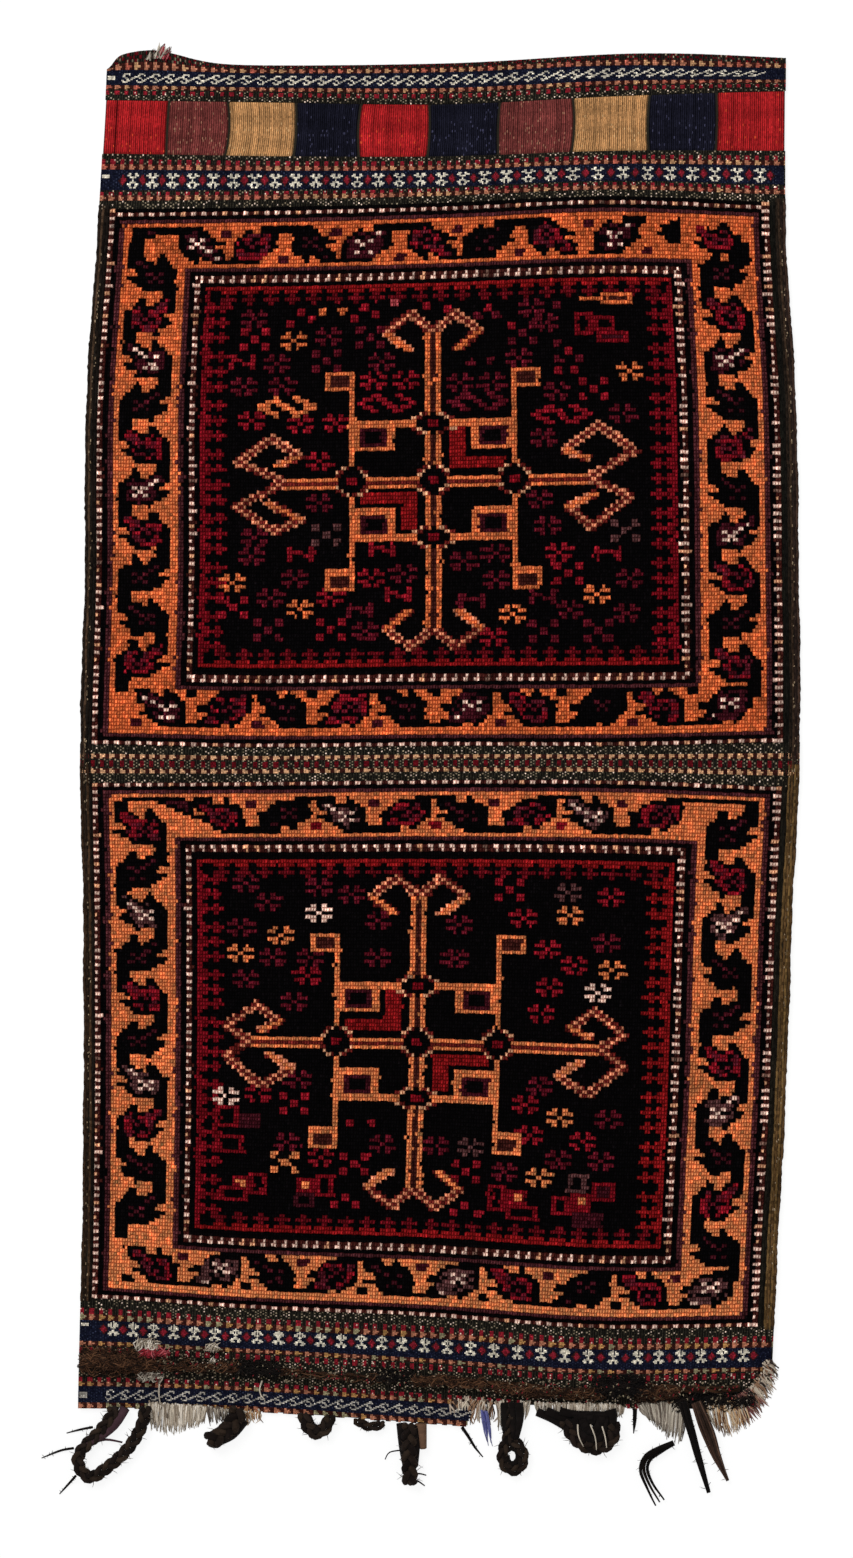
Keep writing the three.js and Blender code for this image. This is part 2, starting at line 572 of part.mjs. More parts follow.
add('couched_hair_cord', couchedCord(), 'hair');
const leftFringe = LEFT_LOCK_SHARES.map((share) => point((share - 0.5) * CLOTH_WIDTH, BOTTOM_EDGE));
add('left_fringe', fringe(leftFringe, LEFT_LOCKS), 'ivory');
add('right_fringe', fringe(frayed.slice(1, 5), RIGHT_LOCKS), 'ivory');
add('corner_fringe', fringe(frayed.slice(5), CORNER_LOCKS), 'ivory');
addClosingLoops();
addStrands();

export default bag;
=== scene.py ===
import math

import bmesh
import bpy
import numpy as np
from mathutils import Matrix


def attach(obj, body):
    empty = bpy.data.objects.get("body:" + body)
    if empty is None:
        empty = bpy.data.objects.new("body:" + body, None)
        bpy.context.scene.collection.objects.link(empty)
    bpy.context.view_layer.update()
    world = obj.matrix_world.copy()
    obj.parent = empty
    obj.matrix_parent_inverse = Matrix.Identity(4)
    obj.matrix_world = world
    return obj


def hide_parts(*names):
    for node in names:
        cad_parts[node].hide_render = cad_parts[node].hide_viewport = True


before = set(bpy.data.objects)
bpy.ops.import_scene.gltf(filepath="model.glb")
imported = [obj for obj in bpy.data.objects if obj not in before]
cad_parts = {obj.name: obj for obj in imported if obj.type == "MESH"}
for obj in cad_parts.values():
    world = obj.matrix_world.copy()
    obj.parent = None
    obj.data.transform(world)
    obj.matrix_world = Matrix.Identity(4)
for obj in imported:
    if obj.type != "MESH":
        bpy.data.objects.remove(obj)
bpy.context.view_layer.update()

MM = 0.001

# The cloth's own plan in millimetres, from the middle of the fold, close to that of the solids
TOP_EDGE = 406.0
SQUARES_TOP = 382.5
SQUARES_FOOT = 352.0
UPPER_TOP = 325.0
UPPER_FOOT = 10.0
LOWER_TOP = -10.0
LOWER_FOOT = -321.0
BOTTOM_EDGE = -383.5
CLOTH_WIDTH = 419.0
PILE_LEFT = -202.5
PILE_RIGHT = 199.5
LEFT_INSET = [16.8, 11, 4.6, 3.8, 1.2, 2.9, 3.2, 2.3, 0]
RIGHT_INSET = [8.1, 8.1, 2.3, 0.6, 0, 4.6, 8.1, 13.3, 17.4]
ROW_LINES = [BOTTOM_EDGE, LOWER_FOOT, LOWER_TOP, UPPER_FOOT, UPPER_TOP, SQUARES_FOOT, SQUARES_TOP, TOP_EDGE]
ROW_RISES = [
    [9, 6.8, 0, -6, -4],
    [11, 4.4, 0, -7, -5.8],
    [-1.7, -1.2, 0, -0.3, -4.1],
    [1.2, -0.9, 0, 0, 2.3],
    [-3.8, -2.6, 0, 3.8, 0.3],
    [1.5, 0, 0, 3.2, 3.2],
    [2.3, 0.9, 0, 4.6, 7.5],
    [0.6, -1.2, 0, 3.5, 0.6],
]

# Where the upper edge has been pulled outwards, or its corner has gone in: place, half width and how far
PULLS = [(-182, 27, 7.5), (168, 90, 3.2), (-209.5, 5, -6.5)]
PULLED_DEPTH = 7.0

# How far the lower edge has worn away, by share of the width, in millimetres
FRAY_SHARES = [0.56, 0.575, 0.7, 0.83, 0.9, 0.975, 1]
FRAY_HEIGHTS = [0, 13, 16, 15, 13.5, 15, 33]

# Thickness of the ground in millimetres, and the counts of knots, of tips to a knot and of flatwoven stitches
GROUND = 2.0
KNOTS_ACROSS = 126
KNOT_ROWS = 143
TIPS = 2
FLAT_COLUMNS = 540

# Yarns as seen, in the usual 0 to 255
YARNS = {
    "dark": (5, 4, 5),
    "plum": (60, 18, 27),
    "orange": (210, 112, 62),
    "straw": (218, 146, 92),
    "red": (116, 15, 27),
    "brick": (132, 22, 25),
    "dusk": (72, 36, 40),
    "cherry": (134, 22, 36),
    "berry": (92, 20, 34),
    "star_red": (134, 32, 46),
    "tooth_red": (98, 14, 24),
    "wine": (86, 26, 38),
    "ivory": (224, 200, 182),
    "cream": (206, 160, 122),
    "faded": (116, 92, 80),
    "brown": (58, 26, 22),
    "grey_plum": (86, 56, 56),
    "pink": (176, 78, 84),
    "peach": (208, 138, 102),
    "sand": (192, 148, 108),
    "rose": (180, 98, 80),
    "rust": (98, 32, 28),
    "dull_peach": (176, 116, 90),
    "ochre": (174, 130, 80),
    "sage": (152, 142, 110),
    "navy": (18, 20, 36),
    "olive": (40, 37, 30),
    "dark_olive": (20, 18, 16),
    "speck": (140, 126, 104),
    "grey": (174, 168, 158),
    "bright_red": (136, 30, 42),
    "slate": (40, 45, 64),
    "white": (216, 208, 190),
}
YARN_NUMBER = {name: i for i, name in enumerate(YARNS)}


def linear(value):
    """One part of a colour on the usual scale, as an amount of light."""
    share = value / 255
    return share / 12.92 if share <= 0.04045 else ((share + 0.055) / 1.055) ** 2.4


def colour(red, green, blue):
    return linear(red), linear(green), linear(blue)


YARN_COLOURS = np.array([colour(*tone) for tone in YARNS.values()])


def through(values, share):
    """A smooth curve through evenly spaced values."""
    values = np.asarray(values, float)
    last = len(values) - 1
    at = np.clip(share, 0, 1) * last
    i = np.minimum(at.astype(int), last - 1)
    t = at - i
    a, b = values[i], values[i + 1]
    before = values[np.maximum(i - 1, 0)]
    after = values[np.minimum(i + 2, last)]
    bend = 2 * before - 5 * a + 4 * b - after + t * (3 * (a - b) + after - before)
    return a + 0.5 * t * (b - before + t * bend)


def lay(x, y):
    """Where a point of the even plan lies on the uneven cloth, in millimetres."""
    x, y = np.asarray(x, float), np.asarray(y, float)
    across = x / CLOTH_WIDTH + 0.5
    down = (TOP_EDGE - y) / (TOP_EDGE - BOTTOM_EDGE)
    left = through(LEFT_INSET, down) - CLOTH_WIDTH / 2
    right = CLOTH_WIDTH / 2 - through(RIGHT_INSET, down)
    rises = np.array([through(rise, across) for rise in ROW_RISES])
    lines = np.array(ROW_LINES)
    k = np.clip(np.searchsorted(lines, y) - 1, 0, len(lines) - 2)
    t = np.clip((y - lines[k]) / (lines[k + 1] - lines[k]), 0, 1)
    here = np.arange(len(y))
    rise = rises[k, here] * (1 - t) + rises[k + 1, here] * t
    near_edge = np.clip(1 - (TOP_EDGE - y) / PULLED_DEPTH, 0, 1) ** 2
    for place, width, out in PULLS:
        rise += out * np.exp(-((x - place) / width) ** 2) * near_edge
    return left + (right - left) * across, y + rise


def worn_away(share):
    return np.interp(share, FRAY_SHARES, FRAY_HEIGHTS)


# How the cloth lies on the table: its lift all over and at the fold, then the lift and lengths of two waves
EVEN_LIFT = 0.5
FOLD_LIFT = 0.7
FOLD_REACH = 14
BROAD_WAVE = (0.3, 61, 83)
BROAD_WAVE_START = (0.6, 1.1)
SLANTING_WAVE = (0.2, 33, 47)


def swell(x, y):
    """How far the cloth lifts off the table here, in millimetres."""
    fold = FOLD_LIFT * np.exp(-((y / FOLD_REACH) ** 2))
    lift, across, along = BROAD_WAVE
    broad = lift * np.sin(x / across + BROAD_WAVE_START[0]) * np.sin(y / along + BROAD_WAVE_START[1])
    lift, across, along = SLANTING_WAVE
    return fold + EVEN_LIFT + (broad + lift * np.sin(x / across - y / along))


class Chart:
    """A weaver's chart: one yarn for each knot or stitch, row 0 at the top."""

    def __init__(self, columns, rows, ground, tips=1):
        self.yarn = np.full((rows, columns * tips), YARN_NUMBER[ground])
        self.x = (np.arange(columns * tips) + 0.5) / tips
        self.y = (np.arange(rows) + 0.5)[:, None]

    def paint(self, mask, yarn):
        self.yarn[np.broadcast_to(mask, self.yarn.shape)] = YARN_NUMBER[yarn]

    def inside(self, outline):
        mask = np.zeros(self.yarn.shape, bool)
        for (x0, y0), (x1, y1) in zip(outline, outline[1:] + outline[:1]):
            if y0 != y1:
                crosses = (y0 > self.y) != (y1 > self.y)
                mask ^= crosses & (self.x < x0 + (x1 - x0) * (self.y - y0) / (y1 - y0))
        return mask

    def near(self, line, half):
        mask = np.zeros(self.yarn.shape, bool)
        for (x0, y0), (x1, y1) in zip(line, line[1:]):
            length = max((x1 - x0) ** 2 + (y1 - y0) ** 2, 1e-9)
            t = np.clip(((self.x - x0) * (x1 - x0) + (self.y - y0) * (y1 - y0)) / length, 0, 1)
            away = (self.x - x0 - t * (x1 - x0)) ** 2 + (self.y - y0 - t * (y1 - y0)) ** 2
            mask |= away <= half * half
        return mask

    def fill(self, outline, yarn):
        self.paint(self.inside(outline), yarn)

    def line(self, line, half, yarn):
        self.paint(self.near(line, half), yarn)

    def block(self, left, top, right, foot, yarn):
        mask = (self.x > left) & (self.x < right) & (self.y > top) & (self.y < foot)
        self.paint(mask, yarn)

    def spot(self, x, y, yarn, wide=1.0, tall=1.0):
        """A block of knots that keeps its size wherever it is drawn."""
        left = math.floor((x - wide / 2) * TIPS + 0.5) / TIPS
        top = math.floor(y - tall / 2 + 0.5)
        self.block(left, top, left + wide, top + tall, yarn)


# Small fillers of the dark field, in knots and rows from the middle of each
ROSETTE_KNOTS = [(1, 1), (2, 1), (1, 2)]
QUINCUNX_DOTS = [(0, 0), (-2, -2), (2, -2), (-2, 2), (2, 2)]
DOT_SIZE = (1.5, 2)
LADDER_SIDE = 2
LADDER_TALL = 4
RUNG_DROP = 0.6
RUNG_HALF = 0.55
CURL_TURNS = [(-2, 2), (-5, 0), (-2, -2), (2, 2), (5, 0), (2, -2)]
CURL_HALF = 0.62


def rosette(chart, x, y, yarn):
    for right in (-1, 1):
        for down in (-1, 1):
            for across, along in ROSETTE_KNOTS:
                chart.spot(x + right * across, y + down * along, yarn)
    chart.spot(x, y, yarn)


def dot(chart, x, y, yarn):
    chart.spot(x, y, yarn, *DOT_SIZE)


def quincunx(chart, x, y, yarn):
    for across, along in QUINCUNX_DOTS:
        dot(chart, x + across, y + along, yarn)


def ladder(chart, x, y, yarn):
    for side in (-LADDER_SIDE, LADDER_SIDE):
        chart.spot(x + side, y, yarn, 1, LADDER_TALL)
    chart.line([(x - LADDER_SIDE, y - RUNG_DROP), (x + LADDER_SIDE, y + RUNG_DROP)], RUNG_HALF, yarn)


def curl(chart, x, y, yarn):
    chart.line([(x + across, y + along) for across, along in CURL_TURNS], CURL_HALF, yarn)


# Fillers of each panel: figure, yarn and places
UPPER_FILLERS = [
    (quincunx, "cherry", [(28.5, 35), (91.7, 49.7), (25.3, 106), (43, 112), (86.7, 98)]),
    (quincunx, "berry", [(50, 35), (42, 41), (78.5, 34.5), (31.7, 111.6), (82.3, 113), (92.3, 113)]),
    (quincunx, "grey_plum", [(97, 86.7), (42, 86.5)]),
    (rosette, "berry", [
        (28.5, 29), (42.5, 34), (33, 41.5), (52.5, 41), (27, 47.5), (34, 47), (80.5, 28), (83, 32),
        (78, 41), (67, 47), (73, 47), (97, 56.5), (82.6, 62), (41, 78), (29, 87.5), (28.7, 92.7),
        (36.5, 98), (32, 103), (49.5, 112), (81.7, 78), (83, 85), (67.3, 94.7), (73.7, 92.8),
        (73.7, 99.5), (87, 107.7), (97.8, 99.3), (97.6, 108), (85, 50), (56.5, 97),
    ]),
    (rosette, "cherry", [
        (51, 46), (57, 46), (28.5, 56.5), (37.5, 57.5), (44, 57.5), (41, 67), (43, 103), (50.7, 98),
        (84.8, 92), (73, 114),
    ]),
    (rosette, "orange", [(36, 35.5), (98.4, 45), (25, 99.5), (37.5, 106.5), (92, 103), (76.6, 108)]),
    (ladder, "cherry", [(26.5, 41), (37.7, 92), (55.3, 103), (52.7, 91), (94, 92.6)]),
    (ladder, "berry", [(48.7, 107), (69, 104.5), (82, 104)]),
    (curl, "orange", [(35, 53)]),
    (curl, "cherry", [(53.5, 52.5), (85.7, 56.5)]),
    (curl, "berry", [(70.5, 52.7)]),
    (dot, "cherry", [
        (37, 28), (49, 27), (47, 30), (51, 29), (39, 30), (35, 31), (60.5, 27), (64.5, 27.5), (72, 27.5),
        (76.5, 32.5), (87.3, 40), (85, 44.5), (88, 44.5),
    ]),
    (dot, "berry", [
        (70, 30), (73.5, 30), (85, 27.5), (85, 38), (85, 42), (89.4, 41.5), (69, 42.4), (72.6, 42.4),
    ]),
    (dot, "orange", [(41, 28), (45, 28)]),
    (dot, "pink", [(54.5, 26)]),
]
LOWER_FILLERS = [
    (quincunx, "cherry", [(76.8, 29.2), (37, 87), (48.5, 103.3), (69.5, 104)]),
    (quincunx, "orange", [(35.6, 103)]),
    (rosette, "berry", [
        (28, 27.6), (32, 32.5), (41.7, 28), (47.7, 30), (27, 39), (33, 47.4), (40, 47), (28, 53.8),
        (37, 59.5), (52.5, 37.6), (52.4, 47.2), (67.5, 38), (67.2, 47.6), (95, 42), (37.8, 80), (36, 97),
        (54, 97.6), (96, 88.7), (87, 99.3), (94.8, 99.7), (64, 97.7), (77, 103.7), (83, 80.5),
    ]),
    (rosette, "cherry", [
        (39.4, 52.5), (95.3, 30.4), (79.5, 36.6), (83.8, 44.3), (89, 48.5), (84.3, 54.3), (83, 61),
        (30.5, 84.5), (42.4, 101.6), (80.5, 85.6), (81.6, 93.3), (91.7, 94.2),
    ]),
    (rosette, "orange", [(34.4, 41.5), (27, 46.8), (88.2, 35.7), (96, 49), (87, 88), (83.7, 104.8)]),
    (rosette, "ivory", [(41.5, 35.6), (93.7, 55.8), (24.3, 85)]),
    (rosette, "grey_plum", [(87.4, 29.3), (70.6, 97.5)]),
    (dot, "cherry", [
        (47.8, 92), (51.7, 92), (47.4, 112), (45.4, 114), (49.2, 114), (69.5, 113), (67.6, 115), (72, 115),
    ]),
]
# Boxes of the field: yarns of the outline and of the inside, then left, top, right and foot
UPPER_BOXES = [
    ("red", "dark", 88.5, 30, 92, 36.5), ("red", "dark", 92, 31, 96, 35),
    ("red", "plum", 92.5, 34.6, 98.4, 38.2), ("orange", "orange", 89.4, 25.6, 94.6, 27),
    ("orange", "brown", 93.6, 25.2, 99.4, 28.4),
]
LOWER_BOXES = [
    ("red", "dark", 22.5, 88, 27, 94), ("plum", "plum", 27, 90, 31, 94), ("red", "dark", 23, 96, 28, 101),
    ("red", "red", 26, 107, 29, 111), ("red", "dark", 29, 105.5, 32.4, 112),
    ("red", "dark", 23.7, 110, 29, 114), ("red", "red", 38.2, 107, 41.5, 111),
    ("red", "dark", 41.5, 105.7, 44.8, 112), ("plum", "dark", 37.5, 111, 41.5, 115),
    ("red", "dark", 74.2, 107, 77.6, 114), ("red", "red", 77.4, 108, 81.5, 112),
    ("red", "dark", 77.4, 112, 83.3, 116), ("red", "dark", 86, 109, 89.6, 114.5),
    ("red", "red", 89.5, 108, 93.7, 112.8), ("plum", "plum", 90, 112.8, 95.8, 117),
    ("red", "plum", 93.3, 105, 97.8, 109.7), ("grey_plum", "dark", 88.8, 103, 92.7, 107.6),
]
LOWER_BOX_HEARTS = [(27.5, 109), (39.8, 109), (79.5, 110), (91.6, 110.3)]

# Borders: a ring number for each column and row from the panel's edge
LAST_RING = 23
END_RINGS = [*range(18), 17, 18, *range(18, 23)]
FIRST_END_RINGS = [1, *range(18), *range(17, 23)]
ORANGE_RINGS = range(3, 15)
RING_YARNS = {
    1: "dark", 2: "dusk", **dict.fromkeys(ORANGE_RINGS, "orange"), 15: "dusk", 16: "dark", 18: "dark",
}
DOT_RINGS = (0, 17)
FIELD_RING = 19
# Yarns of the dots and their shares, the share that are only half a knot wide, and the seed for both
DOT_TONES = {"ivory": 0.8, "cream": 0.14, "faded": 0.06}
THIN_DOTS = 0.35
DOT_SEED = 5
# Chances that a tip of wool falls to the left, and to either side
FALLS_LEFT = 0.05
FALLS_ASIDE = 0.1

# A side leaf with its tip outwards: knots from the outer line, rows down from its tip, drawn over 12 rows
LEAF_COLUMN = 4
LEAF_WIDTH = 9.6
SIDE_LEAF_ROWS = 12
SIDE_LEAF = [
    (0, -8.5), (2.3, -8.5), (2.3, -5.4), (3.5, -4.5), (4, -3.6), (5.3, -3.1), (5.5, -5), (6.1, -5.8),
    (6.9, -5.7), (7.1, -4.7), (7.9, -3.4), (8.7, -2.1), (9.6, -1.6), (9.6, 1.2), (9.4, 8.5), (7.1, 8.5),
    (7, 4.3), (6.4, 4.2), (4.1, 4.6), (3.5, 5), (2.9, 3.6), (2, 2.9), (1.1, 1.9), (-0.1, 0.6), (1.9, 0.3),
    (2.1, -0.5), (1.1, -1.5), (-0.1, -2),
]
SIDE_HEART = [
    (1, -5.2), (2.3, -4.6), (3.3, -3.4), (5.2, -2.2), (6, -3.4), (6.8, -3), (7.9, -2), (8, 1), (7.8, 3.5),
    (6.2, 3.8), (4.3, 3.6), (3.2, 2.6), (2.4, 1.4), (2.9, -0.4), (1.8, -2), (1, -2.6),
]
SIDE_SEEDS = [(4.5, -0.6), (6.6, -0.6), (5.5, 0.5), (4.5, 1.7), (6.6, 1.7), (2.4, -3), (3.5, -1.8)]
# Two leaves of an end border, drawn over 21.9 knots and 10.7 rows
END_PAIR = 21.9
END_PAIR_ROWS = 10.7
FIRST_LEAF = [
    (0, 0), (3.8, 0.1), (3.9, 1.2), (4.8, 2), (5.8, 2.3), (5.9, 0.1), (6.7, 0.2), (6.9, 1.2), (7.7, 2),
    (8.7, 2.6), (8.7, 3.4), (9.6, 3.7), (9.5, 6.1), (9.8, 9), (10.4, 9.4), (13.6, 9.4), (13.6, 10.6),
    (5.4, 10.7), (4.8, 9.9), (4, 9.2), (3.4, 8.3), (2.6, 7.5), (0.8, 6.7), (0.7, 6), (2.7, 5.7),
    (2.7, 5.1), (1.6, 4.3), (0.9, 3.4), (0.6, 2.8), (0.6, 1.6),
]
FIRST_HEART = [
    (1.4, 1), (3.4, 1.2), (4.4, 2.6), (6.2, 3.2), (7.6, 3.4), (8.4, 4.4), (8.4, 8.6), (6.4, 9.6),
    (5, 8.8), (3.6, 7.2), (3.4, 5.6), (2, 3.4), (1.4, 2.2),
]
FIRST_SEEDS = [(5, 5), (7, 5), (6, 6.2), (5, 7.4), (7, 7.4), (2.4, 2.4), (3.6, 3.8)]
SECOND_LEAF = [
    (10.7, 9.4), (11.7, 8.9), (12.7, 7.9), (12.3, 7.2), (13.6, 6.7), (12.6, 6.2), (11.7, 5.9), (12, 4.7),
    (12.9, 4.3), (13.7, 3.7), (14.3, 2.6), (15.3, 1.6), (15.7, 0.6), (18.7, 0.3), (21.3, 0), (22.6, 0),
    (22.6, 1.3), (21.3, 1.4), (21.3, 6.7), (20.7, 6.8), (20.5, 7.5), (19.6, 8.1), (19.6, 9.1),
    (18.7, 9.5), (18.3, 10.4), (17.6, 9.9), (17.6, 9.4), (15.9, 9.4), (15.9, 10.6), (10.7, 10.6),
]
SECOND_HEART = [
    (15.5, 1.7), (20.5, 1.6), (20.6, 6.6), (19.2, 7.6), (18, 8.9), (14.7, 9.2), (13.1, 9), (13.4, 7.9),
    (14.4, 6.8), (13.8, 5.4), (14.6, 3.6),
]
SECOND_SEEDS = [(16.4, 3.4), (18.5, 3.4), (17.4, 4.6), (16.4, 5.8), (18.5, 5.8), (14.6, 8.2)]
END_SQUARES = [(10.8, 1.6), (22.4, 8.8)]
HALF_LEAF = [
    (104.4, 9.6), (105.6, 8.6), (105, 7.4), (107, 6.4), (108.8, 5.2), (108.8, 12.4), (107, 11.8), (106, 10.6),
]
HEART_YARNS = {"ivory": "plum", "grey": "grey_plum"}
SEED_YARNS = {"red": "berry", "dark": "plum", "ivory": "ivory", "grey": "ivory"}
# The speckled heart: width of a red leaf's rim, and the lots up to which a knot stays dark or turns wine
LEAF_RIM = 1.3
DARK_IN_RIM = 0.2
WINE_IN_RIM = 0.45
DARK_IN_HEART = 0.3
LOTS_TO_A_ROW = 100

# Leaves of the sides: whether on the right, row of the first tip, rows from one to the next, kinds
UPPER_SIDE_LEAVES = [
    (False, 17.6, 11.47, ["dark", "red", "ivory", "dark", "red", "ivory", "red", "dark", "dark", "red"]),
    (True, 19, 11.5, ["dark", "red", "ivory", "dark", "red", "dark", "ivory", "red", "dark", "red"]),
]
LOWER_SIDE_LEAVES = [
    (False, 12.8, 11.65, ["red", "dark", "grey", "dark", "red", "dark", "grey", "red", "dark", "dark"]),
    (True, 12.6, 12.2, ["dark", "red", "grey", "dark", "dark", "red", "grey", "dark", "red", "dark"]),
]
# Leaves of the ends: top row, rows, whether turned round, where pairs start, kinds, yarns of the squares
UPPER_END_LEAVES = [
    (5.4, 9.8, True, [13, 34], [None, "ivory"], ["plum", "plum"]),
    (5.4, 9.8, True, [36.2, 58.9, 82, 102.8, 124.7],
     ["red", "dark", "red", "ivory", "dark", "red", "ivory"],
     ["plum", "plum", "plum", "plum", "plum", "plum"]),
    (127.8, 10.6, False, [7.3, 29.4, 51.3, 73.8, 98, 121],
     ["ivory", "red", "dark", "red", "dark", "ivory", "red", "dark", "red", "ivory"],
     ["dark", "plum", "dark", "plum", "dark", "plum", "dark", "plum", "dark"]),
]
LOWER_END_LEAVES = [
    (4.2, 9.4, False, [17.8, 40.5, 62.4, 85.4, 108.8],
     ["red", "dark", "grey", "red", "dark", "red", "grey", "red"],
     ["plum", "red", "plum", "red", "plum", "red", "plum"]),
    (128.1, 10.4, False, [6, 28.7, 50.4, 73.6, 98.5, 121.5],
     ["red", "grey", "dark", "red", "dark", "grey", "red", "dark", "red", "grey"],
     ["plum", "dark", "plum", "dark", "plum", "dark", "plum", "dark", "plum"]),
]
SQUARE_KNOTS = (2, 2)
# What fills the corners of the borders: left, top, right, foot and yarn, or an outline and yarn
UPPER_CORNER_BLOCKS = [
    (4.5, 5, 9.5, 8, "dark"), (6, 6, 9, 7, "plum"), (4.5, 5, 7, 13, "dark"), (7, 136, 9, 138, "plum"),
]
UPPER_CORNER_SHAPES = [(HALF_LEAF, "dark")]
LOWER_CORNER_BLOCKS = [(5, 4, 17, 5, "dark"), (106, 4, 121, 5, "dark"), (5.5, 136, 7.5, 138, "dark")]
LOWER_CORNER_SHAPES = [
    ([(11, 4.6), (18.6, 4.6), (18.6, 10), (17, 9)], "dark"), ([(13, 5.2), (17.6, 5.2), (17.6, 7.8)], "plum"),
]
CORNER_LEAF = (SIDE_LEAF[3:9] + SIDE_LEAF[11:], SIDE_HEART, SIDE_SEEDS)
CORNER_LEAF_AT = (110.8, 10.6)
CORNER_LEAF_TALL = 0.75


def draw_leaf(chart, shapes, move, kind):
    outline, heart, seeds = shapes
    chart.fill([move(*at) for at in outline], "dark")
    edge = [move(*at) for at in heart]
    inside = chart.inside(edge)
    rng = np.random.default_rng(round(LOTS_TO_A_ROW * edge[0][1]))
    lot = rng.random((KNOT_ROWS, KNOTS_ACROSS)).repeat(TIPS, 1)
    if kind == "red":
        rim = inside & chart.near(edge + edge[:1], LEAF_RIM)
        chart.paint(rim & (lot > DARK_IN_RIM), "wine")
        chart.paint(rim & (lot > WINE_IN_RIM), "cherry")
    elif kind != "dark":
        chart.paint(inside & (lot > DARK_IN_HEART), HEART_YARNS[kind])
    for seed in seeds:
        chart.spot(*move(*seed), SEED_YARNS[kind])
    if kind == "dark":
        chart.spot(*move(*seeds[0]), "wine")


def side_leaves(chart, right_side, first, pitch, kinds):
    """Leaves down a side, of which every other one has its tip outwards, starting with the first."""
    for k, kind in enumerate(kinds):

        def move(across, down):
            column = LEAF_COLUMN + (LEAF_WIDTH - across if k % 2 else across)
            row = first + k * pitch + down * pitch / SIDE_LEAF_ROWS
            return (KNOTS_ACROSS - column if right_side else column), row

        draw_leaf(chart, (SIDE_LEAF, SIDE_HEART, SIDE_SEEDS), move, kind)


def end_leaves(chart, top_row, rows, turned, starts, kinds, squares):
    """Pairs of leaves along an end, from one start to the next."""
    first_shapes = (FIRST_LEAF, FIRST_HEART, FIRST_SEEDS)
    second_shapes = (SECOND_LEAF, SECOND_HEART, SECOND_SEEDS)
    for k, kind in enumerate(kinds):
        start, after = starts[k // 2], starts[k // 2 + 1]

        def move(across, down):
            column = start + across * (after - start) / END_PAIR
            row = down * rows / END_PAIR_ROWS
            if turned:
                return KNOTS_ACROSS - column, top_row + rows - row
            return column, top_row + row

        if kind:
            draw_leaf(chart, second_shapes if k % 2 else first_shapes, move, kind)
        if k < len(squares):
            chart.spot(*move(*END_SQUARES[k % 2]), squares[k], *SQUARE_KNOTS)


def draw_borders(chart, first_end):
    side = np.minimum(np.minimum(chart.x, KNOTS_ACROSS - chart.x).astype(int), LAST_RING)
    end = np.full(KNOT_ROWS, LAST_RING)
    end[:len(first_end)] = first_end
    end[-len(END_RINGS):] = END_RINGS[::-1]
    end = end[:, None]
    ring = np.minimum(side, end)
    along_end = np.broadcast_to(end < side, ring.shape)
    for number, yarn in RING_YARNS.items():
        chart.paint(ring == number, yarn)
    line = np.arange(KNOT_ROWS)[:, None]
    slid = chart.x + 0.5 * (line % 2)
    step = np.where(along_end, slid.astype(int), line)
    short = along_end & (ring == DOT_RINGS[1]) & (line % 2 == 0) & (slid % 1 > 0.5)
    rng = np.random.default_rng(DOT_SEED)
    for number in DOT_RINGS:
        guard = ring == number
        chart.paint(guard, "brown")
        tones = rng.choice(list(DOT_TONES), KNOT_ROWS, p=list(DOT_TONES.values()))
        wide = guard | np.roll(guard, -1, 1) & (chart.x > KNOTS_ACROSS / 2) & ~along_end
        thin = rng.random(KNOT_ROWS)[step] < THIN_DOTS
        wide &= along_end | ~thin | (chart.x % 1 < 0.5)
        for tone in DOT_TONES:
            chart.paint(wide & (step % 2 == 0) & (tones[step] == tone) & ~short, tone)
    return ring


def unsettle(chart, ring, seed):
    """Ragged edges: here and there a tip of wool falls to the knot beside its own."""
    rng = np.random.default_rng(seed)
    chance = rng.random(chart.yarn.shape)
    beside = np.where(chance < FALLS_LEFT, np.roll(chart.yarn, 1, 1), np.roll(chart.yarn, -1, 1))
    chart.yarn = np.where((chance < FALLS_ASIDE) & ~np.isin(ring, DOT_RINGS), beside, chart.yarn)


# The sawtooth frame: where it lies, its teeth, and how far they keep from its corners
TOOTH_BASE_COLUMN = 19
TOOTH_BASE_ROW = 21
TEETH_ACROSS = 21
TEETH_DOWN = 22
CORNER_COLUMNS = 2
CORNER_ROWS = 3
# A tooth's blocks: from and to as counted inwards from the frame's edge, then along it
TOOTH_STEP = (0, 2, -1, 2)
TOOTH_CROSS = [(2, 5, 0, 1), (3, 4, -1, 2)]


